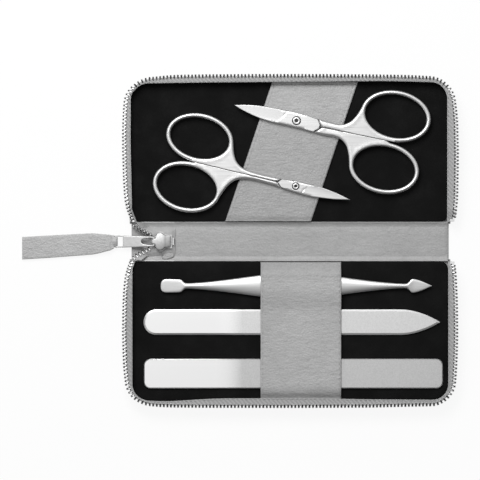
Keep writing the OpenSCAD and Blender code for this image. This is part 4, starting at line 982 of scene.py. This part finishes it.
def scissorHalf(spec, sign, material, facet, body, node):
    # sign -1 is the half whose plate lies on top. Wire, web and shank share one
    # rounded height; beyond its crease the blade is ground down towards the tip
    insets = [wireRadius * (1 - math.cos(math.radians(a))) for a in (14, 28, 42, 56, 70, 82)]
    loops = shankLoops(spec, sign)

    def onSplit(middle):
        near = np.abs(middle[:, 1] - spec["split"]) < splitGap + 0.06
        return near & (middle[:, 0] > spec["plus"]["hole"][0] - 6)

    def shankTop(x, y, d):
        at = np.stack([x, y], 1)
        outer = edgeDistance(at, loops, lambda m: ~onSplit(m))
        inner = edgeDistance(at, loops, onSplit)
        soft = 0.16 + 0.4 * ease((x + 26) / 12)
        return wireRadius * (roundEdge(outer, wireRadius) * (0.45 + 0.55 * roundEdge(inner, soft))
                             - 0.06 * ease((outer - 1.2) / 1.5))

    points, faces = plateShell(loops, insets, 0.8, shankTop, lambda x, y, d: -shankTop(x, y, d))
    shank = placed(points, spec)
    crease = smoothLine(spec["crease"], 0.4)
    order = np.argsort(crease[:, 1])

    def beyond(x, y):
        return x - np.interp(y, crease[order, 1], crease[order, 0])

    def bladeTop(x, y, d):
        s = beyond(x, y)
        full = np.maximum(1.2 - 0.035 * ease(s / 0.3) - 0.03 * np.maximum(s, 0), 0.3)
        edge = np.where(x > 8, 0.3, np.where(x < -4, 0.32, 0.5))
        edge = np.where(np.hypot(x, y) < spec["head"] + 0.6, 0.1, edge)
        return 0.03 + (full - 0.03) * roundEdge(d, edge)

    steps = [0.03, 0.1, 0.2, 0.32, 0.5]
    if sign < 0:
        points, faces2 = plateShell(bladeLoops(spec, sign), steps, 0.7, bladeTop,
                                    lambda x, y, d: 0.03 + 0 * x, [crease, crease + (0.3, 0)])
    else:
        points, faces2 = plateShell(bladeLoops(spec, sign), steps, 0.7, lambda x, y, d: -0.03 + 0 * x,
                                    lambda x, y, d: -bladeTop(x, -y, d))
    n = len(shank)
    both = faces + [[v + n for v in f] for f in faces2]
    local = np.vstack([points[f].mean(0) for f in faces2])
    if sign < 0:
        # Beyond the crease the facet takes its own material, whose tone paints the facet's shading
        finish, marked = facet, beyond(local[:, 0], local[:, 1]) > 0.2
    else:  # the rear plate's top behind the shoulder is painted dark: painted shade at the bottom of the gap
        finish, marked = recessShade, (np.arange(len(faces2)) < len(faces2) // 2) & (local[:, 0] < -5)
    marked = np.concatenate([np.zeros(len(faces), bool), marked])
    piece = makePiece(node, np.vstack([shank, placed(points, spec)]), both, material, body, sharp=32,
                      second=(finish, lambda middles, index: marked[index]))
    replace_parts(piece, node)


def screwHead(spec, material, body, node):
    # Screw: a raised ring round a dimple, in a groove of the plate, on a shank that passes both halves. Its
    # dimple and groove are painted dark as shade
    r = spec["head"]
    profile = np.array([(r * 0.05, 1.0), (r * 0.34, 1.02), (r * 0.42, 1.2), (r * 0.5, 1.29), (r * 0.68, 1.3),
                        (r * 0.78, 1.22), (r * 0.81, 0.9), (r * 0.97, 0.88), (r * 0.97, 0.08),
                        (r * 0.48, 0.08), (r * 0.48, -1.2), (0.1, -1.2)])
    turn = np.radians(np.arange(0, 360, 7.5))
    radii, angles = np.meshgrid(profile[:, 0], turn, indexing="ij")
    heights = np.broadcast_to(profile[:, 1][:, None], radii.shape)
    rings = np.stack([radii * np.cos(angles), radii * np.sin(angles), heights], -1)
    points = placed(rings.reshape(-1, 3), spec)

    def recessed(middles, index):
        away = np.hypot(middles[:, 0] - spec["pivot"][0], middles[:, 1] - spec["pivot"][1]) / r
        return ((away < 0.4) | (away > 0.8)) & (middles[:, 2] > jointZ + 0.5)

    piece = makePiece(node, points, loftFaces(*rings.shape[:2]), material, body, sharp=35,
                      second=(recessShade, recessed))
    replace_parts(piece, node)


scissorHalf(nailScissors, -1, nailSteel, nailFacet, "nail_scissors_front", "nail_scissors_front")
scissorHalf(nailScissors, 1, nailSteel, nailFacet, "nail_scissors_rear", "nail_scissors_rear")
screwHead(nailScissors, nailSteel, "nail_scissors_front", "nail_scissors_screw")
scissorHalf(cuticleScissors, -1, cuticleSteel, cuticleFacet, "cuticle_scissors_front",
            "cuticle_scissors_front")
scissorHalf(cuticleScissors, 1, cuticleSteel, cuticleFacet, "cuticle_scissors_rear", "cuticle_scissors_rear")
screwHead(cuticleScissors, cuticleSteel, "cuticle_scissors_front", "cuticle_scissors_screw")
print("scissors made")

# Pusher and files

# Each station holds its place along X, half width, half thickness and squareness
pusher = {"y": -20.4, "z": 4.9, "stations": [
    (-59.5, 1.1, 0.2, 0.6), (-59.3, 1.9, 0.28, 0.5), (-58.8, 2.5, 0.38, 0.45), (-58.0, 2.9, 0.44, 0.42),
    (-56.9, 3.08, 0.46, 0.4), (-54.5, 3.05, 0.5, 0.4), (-51.0, 2.98, 0.62, 0.42), (-50.1, 2.75, 0.7, 0.5),
    (-49.3, 2.1, 0.8, 0.65), (-48.6, 1.55, 0.88, 0.85), (-47.8, 1.3, 0.95, 1.0), (-44.0, 1.42, 1.0, 1.0),
    (-36.0, 2.1, 1.1, 1.0), (-26.0, 3.3, 1.25, 1.0), (-15.0, 4.75, 1.4, 1.0), (-5.0, 5.75, 1.48, 1.0),
    (2.2, 6.0, 1.5, 1.0), (9.5, 5.75, 1.48, 1.0), (19.5, 4.7, 1.4, 1.0), (30.0, 3.2, 1.25, 1.0),
    (40.0, 2.0, 1.1, 1.0), (48.0, 1.3, 1.0, 1.0), (52.8, 1.1, 0.95, 1.0), (53.8, 1.2, 0.9, 0.9),
    (54.7, 1.9, 0.8, 0.7), (55.4, 2.75, 0.7, 0.55), (56.1, 3.15, 0.62, 0.5), (57.0, 3.15, 0.55, 0.5),
    (59.0, 2.65, 0.5, 0.5), (61.5, 1.75, 0.45, 0.5), (63.8, 0.7, 0.35, 0.6), (65.1, 0.12, 0.15, 0.8)]}


def pusherShell():
    # Oval sections carried from the square spade over the
    # swelling handle to the spear, each with its own squareness
    fine = smoothLine(pusher["stations"], 0.7)
    t = np.radians(np.arange(0, 360, 10))
    c, s = np.cos(t)[None], np.sin(t)[None]
    x, w, h, q = [fine[:, k, None] for k in range(4)]
    w, h, q = np.maximum(w, 0.1), np.maximum(h, 0.12), np.clip(q, 0.35, 1)
    y = pusher["y"] + w * np.sign(c) * np.abs(c) ** q
    z = pusher["z"] + h * np.sign(s) * np.abs(s) ** q
    points = np.stack([np.broadcast_to(x, y.shape), y, z], -1)
    return points.reshape(-1, 3), loftFaces(len(fine), len(t))


points, faces = pusherShell()
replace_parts(makePiece("cuticlePusher", points, faces, pusherSteel, "cuticle_pusher"), "cuticle_pusher")

pointedFile = {"left": -67.5, "right": 69.1, "y": -37.1, "half": 5.85, "point": 18.5}
straightFile = {"left": -67.4, "right": 70.3, "y": -60.8, "half": 6.8, "corner": 3.0}
fileBase, fileThick = 3.42, 1.26


def pointedOutline():
    # Half round at the left end and an ogive at the right
    f = pointedFile
    a = np.radians(np.linspace(90, 270, 40))
    left = np.stack([f["left"] + f["half"] * (1 + np.cos(a)), f["half"] * np.sin(a)], 1)
    u = np.linspace(0, 1, 40)
    lower = np.stack([f["right"] - f["point"] * (1 - u), -f["half"] * (1 - u**1.9)], 1)
    upper = (lower * (1, -1))[::-1]
    return np.vstack([left, evenly(np.array([left[-1], lower[0]]), 1.0)[1:], lower[1:], upper[1:],
                      evenly(np.array([upper[-1], left[0]]), 1.0)[1:-1]]) + (0, f["y"])


def straightOutline():
    # Rectangle with rounded corners
    f = straightFile
    r, line = f["corner"], []
    for cx, cy, start in ((f["right"] - r, f["half"] - r, 0), (f["left"] + r, f["half"] - r, 90),
                          (f["left"] + r, r - f["half"], 180), (f["right"] - r, r - f["half"], 270)):
        a = np.radians(np.linspace(start, start + 90, 12))
        line.append(np.stack([cx + r * np.cos(a), cy + r * np.sin(a)], 1))
    return evenly(np.vstack(line), 0.8, True) + (0, f["y"])


def fileShell(name, outline, material, bevel):
    # Flat strip whose edge is ground to a bevel on both faces
    def half(d):
        return fileThick / 2 * (0.25 + 0.75 * np.clip(d / bevel, 0, 1))

    middle = fileBase + fileThick / 2
    points, faces = plateShell([outline], [0.02, bevel * 0.5, bevel, bevel + 0.25], 2.5,
                               lambda x, y, d: middle + half(d), lambda x, y, d: middle - half(d))
    piece = makePiece(name, points, faces, material, name, sharp=12)
    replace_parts(piece, name)


fileShell("pointed_file", pointedOutline(), pointedSteel, 0.85)
fileShell("straight_file", straightOutline(), straightSteel, 0.45)
print("tools made")

# Pull strap

# Each station holds its distance from the bar, width, middle, top and underside
strap = {"barX": -80.53, "barZ": 1.652, "bore": 0.65, "thickness": 0.42, "stations": [
    (0.62, 6.0, -0.15, 2.62, 0.55), (1.2, 6.4, -0.28, 2.68, 0.4), (2.0, 7.0, -0.45, 2.72, 0.3),
    (2.35, 7.25, -0.5, 2.98, 0.26), (3.2, 7.5, -0.56, 3.06, 0.2), (4.6, 8.0, -0.68, 2.8, 0.12),
    (6.4, 8.65, -0.83, 2.45, 0.08), (8.6, 9.35, -1.0, 2.15, 0.06), (11.0, 9.85, -1.13, 2.0, 0.06),
    (15.0, 10.05, -1.38, 1.9, 0.06), (21.0, 10.15, -1.75, 1.87, 0.06), (29.4, 10.35, -2.3, 1.86, 0.06),
    (37.0, 10.4, -2.75, 1.86, 0.06), (42.6, 10.4, -3.08, 1.86, 0.06), (43.0, 10.3, -3.1, 1.8, 0.1)]}


def strapShell():
    # Leather folded round the bar: an open loop, pared thin, that closes into two
    # layers. The closed part widens, lies down on the table and turns a little
    # off the tab's line; each station has its width, middle, top and underside
    x0, z0 = strap["barX"], strap["barZ"]
    b, t = strap["bore"], strap["thickness"]
    fine = smoothLine(strap["stations"], 0.5)
    a = np.radians(np.arange(0, 360, 9))
    c, s = np.cos(a), np.sin(a)
    squareC = np.sign(c) * np.abs(c) ** 0.18
    squareS = np.sign(s) * np.abs(s) ** 0.35
    x = x0 - fine[:, 0, None] + 0 * a
    y = fine[:, 2, None] + fine[:, 1, None] / 2 * squareC
    mid = (fine[:, 3] + fine[:, 4])[:, None] / 2
    half = (fine[:, 3] - fine[:, 4])[:, None] / 2
    z = mid + half * squareS * (1 - 0.04 * np.abs(c) ** 4)
    shell = np.stack([x, y, z], -1)
    faces = loftFaces(len(fine), len(a))
    # Loop round the bar: a ring section swept half round the bar's far side
    turn = np.radians(np.linspace(-100, 100, 22))
    prof = [(b + 0.02, -2.1), (b + 0.02, 2.1), (b + t * 0.5, 2.15), (b + t, 2.02), (b + t, -2.02),
            (b + t * 0.5, -2.15)]
    loop = np.array([[(x0 + p * math.cos(q), w, z0 + p * math.sin(q)) for p, w in prof] for q in turn])
    back = np.array([[(x0 - 1.2, w, z0 + (p if q > 0 else -p)) for p, w in prof] for q in (-1, 1)])
    loop = np.concatenate([back[:1], loop, back[1:]], 0)
    n = shell.shape[0] * shell.shape[1]
    faces += [[v + n for v in f] for f in loftFaces(loop.shape[0], loop.shape[1])]
    return np.vstack([shell.reshape(-1, 3), loop.reshape(-1, 3)]), faces


points, faces = strapShell()
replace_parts(makePiece("pullStrap", points, faces, strapLeather, "pull_strap", sharp=60), "pull_strap")
print("strap made")

# Slider cap

# The outline is half of the cap seen from above, from its nose to its tail
cap = {"base": 4.68, "height": 1.86, "middle": -60.4, "radius": 17.0, "tailFrom": -57.9, "tailDrop": 0.12,
       "outline": [(-63.84, 0.0), (-63.8, 0.6), (-63.4, 1.1), (-62.6, 1.35), (-62.15, 1.6), (-61.95, 2.3),
                   (-61.6, 3.2), (-61.0, 3.85), (-60.1, 4.14), (-59.2, 4.08), (-58.4, 3.7), (-57.8, 3.1),
                   (-57.2, 2.84), (-56.0, 2.74), (-55.2, 2.72), (-54.95, 2.4), (-54.9, 1.2), (-54.9, 0.0)]}


def capShell():
    # Domed cover: part of a sphere over the slider's outline, with a rounded rim and a lower tail
    half = smoothLine(cap["outline"], 0.25)
    loop = np.vstack([half, (half * (1, -1))[::-1][1:-1]])
    loop = loop[np.linalg.norm(np.roll(loop, -1, 0) - loop, axis=1) > 0.04]

    def top(x, y, d):
        away = np.clip((x - cap["middle"]) ** 2 + y**2, 0, 60)
        dome = cap["height"] - cap["radius"] + np.sqrt(cap["radius"] ** 2 - away)
        tail = cap["tailDrop"] * ease((x - cap["tailFrom"]) / 0.8)
        return cap["base"] + np.maximum(dome - tail, 0.12) * (0.35 + 0.65 * roundEdge(d, 0.4))

    return plateShell([loop], [0.03, 0.1, 0.22, 0.45], 0.4, top, lambda x, y, d: cap["base"] + 0 * x)


points, faces = capShell()
sliderCap = makePiece("sliderCap", points, faces, sliderNickel, "slider", sharp=45)
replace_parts(sliderCap, "slider_cap")

pullTab = {"pivot": (-62.6, 5.3), "slope": 11.5, "thickness": 0.8, "bar": -18.3,
           "halfWidth": [(0.42, 1.85), (0.15, 2.2), (-0.6, 2.3), (-4, 2.42), (-9, 2.6), (-14, 2.76),
                         (-17, 2.84), (-18.4, 2.84), (-18.8, 2.6)],
           "slot": [(-0.62, 1.6), (-2.2, 1.6), (-3.6, 1.42), (-4.8, 1.2), (-5.5, 0.95), (-5.9, 0.5),
                    (-6.0, 0.0)],
           "eye": [(-14.7, 0.0), (-14.7, 1.9), (-14.95, 2.2), (-17.5, 2.28), (-17.72, 2.1), (-17.72, 0.0)]}


def tabShell():
    # Stamped plate with rounded edges, a slot for the slider's
    # neck, an eye for the strap, and thicker round end bars
    def closed(half, step, smooth):
        line = smoothLine(half, step) if smooth else evenly(np.array(half, float), step)
        loop = evenly(np.vstack([line, (line * (1, -1))[::-1]]), step, True)
        return loop[np.linalg.norm(np.roll(loop, -1, 0) - loop, axis=1) > 0.05]

    loops = [closed(pullTab["halfWidth"], 0.3, False), closed(pullTab["slot"], 0.25, True),
             closed(pullTab["eye"], 0.25, False)]

    def half(x, y, d):
        bar = np.sqrt(np.clip(0.25 - x**2, 0, 1)) - 0.4
        far = np.sqrt(np.clip(0.3 - (x - pullTab["bar"]) ** 2, 0, 1)) - 0.4
        flat = pullTab["thickness"] / 2 * (0.3 + 0.7 * roundEdge(d, 0.28))
        return flat + np.clip(np.maximum(bar, far), 0, 1)

    points, faces = plateShell(loops, [0.03, 0.09, 0.18, 0.3], 0.5, half, lambda x, y, d: -half(x, y, d))
    u, y, h = points.T
    c, s = math.cos(math.radians(pullTab["slope"])), math.sin(math.radians(pullTab["slope"]))
    px, pz = pullTab["pivot"]
    return np.stack([px + u * c - h * s, y, pz + u * s + h * c], 1), faces


points, faces = tabShell()
tab = makePiece("pullTab", points, faces, tabSteel, "pull_tab", sharp=50)
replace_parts(tab, "pull_tab")

# CAD nodes that stay as they are


def finishNode(node, material, bevel=None):
    # A CAD node keeps its shape, with a new finish and softened edges
    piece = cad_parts[node]
    piece.data.materials.clear()
    piece.data.materials.append(material)
    if bevel:
        modifier = piece.modifiers.new("edge", "BEVEL")
        modifier.width = bevel * mm
        modifier.segments = 2
        modifier.limit_method = "ANGLE"
        modifier.angle_limit = math.radians(40)


finishes = {"spine_leather": (spineLeather, None), "zip_bottom_stop": (sliderNickel, 0.12),
            "zip_chain_end": (zipNickel, None), "upper_cover": (caseLeather, None),
            "lower_cover": (caseLeather, None), "upper_board": (caseLeather, None),
            "lower_board": (caseLeather, None), "upper_top_stop": (zipNickel, 0.08),
            "lower_top_stop": (zipNickel, 0.08), "panel_magnets": (ferrite, None),
            "slider_body": (sliderNickel, 0.12)}
for node, (material, bevel) in finishes.items():
    finishNode(node, material, bevel)
print("nodes finished")

# Floor, light and camera

floorMaterial, tree, shader, coords = newMaterial("paperFloor")  # white photographic paper, lit from behind
grain = addNode(tree, "ShaderNodeTexNoise", sockets={"Vector": coords, "Scale": 40.0})
tree.links.new(addNode(tree, "ShaderNodeValToRGB", {"stops": [(0.3, "#fbfbfb"), (0.7, "#fdfdfd")]},
                       {"Fac": grain.outputs["Fac"]}).outputs["Color"], shader.inputs["Base Color"])
shader.inputs["Roughness"].default_value = 0.95
shader.inputs["Specular IOR Level"].default_value = 0.1
seen = addNode(tree, "ShaderNodeLightPath")
share = addNode(tree, "ShaderNodeMath", {"operation": "MULTIPLY"}, {0: seen.outputs["Is Camera Ray"], 1: 0.9})
glow = addNode(tree, "ShaderNodeEmission", sockets={"Color": (1, 1, 1, 1), "Strength": 1.0})
both = addNode(tree, "ShaderNodeMixShader",
               sockets={0: share.outputs[0], 1: shader.outputs[0], 2: glow.outputs[0]})
tree.links.new(both.outputs[0], tree.nodes["Material Output"].inputs["Surface"])
floor = makePiece("floor",
                  [(-2500, -2500, -0.05), (2500, -2500, -0.05), (2500, 2500, -0.05), (-2500, 2500, -0.05)],
                  [(0, 1, 2, 3)], floorMaterial, None, fixNormals=False)

world = bpy.data.worlds.new("studio")
world.use_nodes = True
bpy.context.scene.world = world
tree = world.node_tree
tree.nodes.clear()
sky = addNode(tree, "ShaderNodeTexCoord")
parts = addNode(tree, "ShaderNodeSeparateXYZ", sockets={0: sky.outputs["Generated"]})
lean = addNode(tree, "ShaderNodeMath", {"operation": "MULTIPLY_ADD"},
               {0: parts.outputs["X"], 1: -0.55, 2: parts.outputs["Y"]})
gradient = addNode(tree, "ShaderNodeMapRange",
                   sockets={"Value": lean.outputs[0], "From Min": -0.8, "From Max": 0.15,
                            "To Min": 0.1, "To Max": 0.91})
camera = addNode(tree, "ShaderNodeLightPath")
soft = addNode(tree, "ShaderNodeBackground", sockets={"Color": (1, 1, 1, 1), "Strength": 0.36})
shine = addNode(tree, "ShaderNodeBackground",
                sockets={"Color": (1, 1, 1, 1), "Strength": gradient.outputs[0]})
white = addNode(tree, "ShaderNodeBackground", sockets={"Color": (1, 1, 1, 1), "Strength": 1.0})
first = addNode(tree, "ShaderNodeMixShader",
                sockets={0: camera.outputs["Is Glossy Ray"], 1: soft.outputs[0], 2: shine.outputs[0]})
second = addNode(tree, "ShaderNodeMixShader",
                 sockets={0: camera.outputs["Is Camera Ray"], 1: first.outputs[0], 2: white.outputs[0]})
addNode(tree, "ShaderNodeOutputWorld", sockets={"Surface": second.outputs[0]})

softBox = {"place": (-0.14, 0.36, 0.55), "size": 0.32, "power": 3.3}  # metres and watts, aimed at the spine
key = bpy.data.lights.new("softBox", "AREA")
key.shape = "RECTANGLE"
key.size, key.size_y = softBox["size"], softBox["size"]
key.energy = softBox["power"]
lamp = bpy.data.objects.new("softBox", key)
lamp.location = softBox["place"]
lamp.rotation_euler = Vector(softBox["place"]).to_track_quat("Z", "Y").to_euler()
bpy.context.scene.collection.objects.link(lamp)

# The picture's middle on the table, its width in metres, and the height of the plane where that width holds
photo = {"middle": (-0.0231, 0.0007), "width": 0.2208, "plane": 0.005, "lens": 260, "sensor": 36}
view = bpy.data.cameras.new("photoView")
view.lens = photo["lens"]
view.sensor_width = photo["sensor"]
eye = bpy.data.objects.new("photoView", view)
eye.location = (*photo["middle"], photo["width"] * photo["lens"] / photo["sensor"] + photo["plane"])
view.clip_end = 20
bpy.context.scene.collection.objects.link(eye)
bpy.context.scene.camera = eye
bpy.context.scene.view_settings.view_transform = "Standard"
print("scene lit")
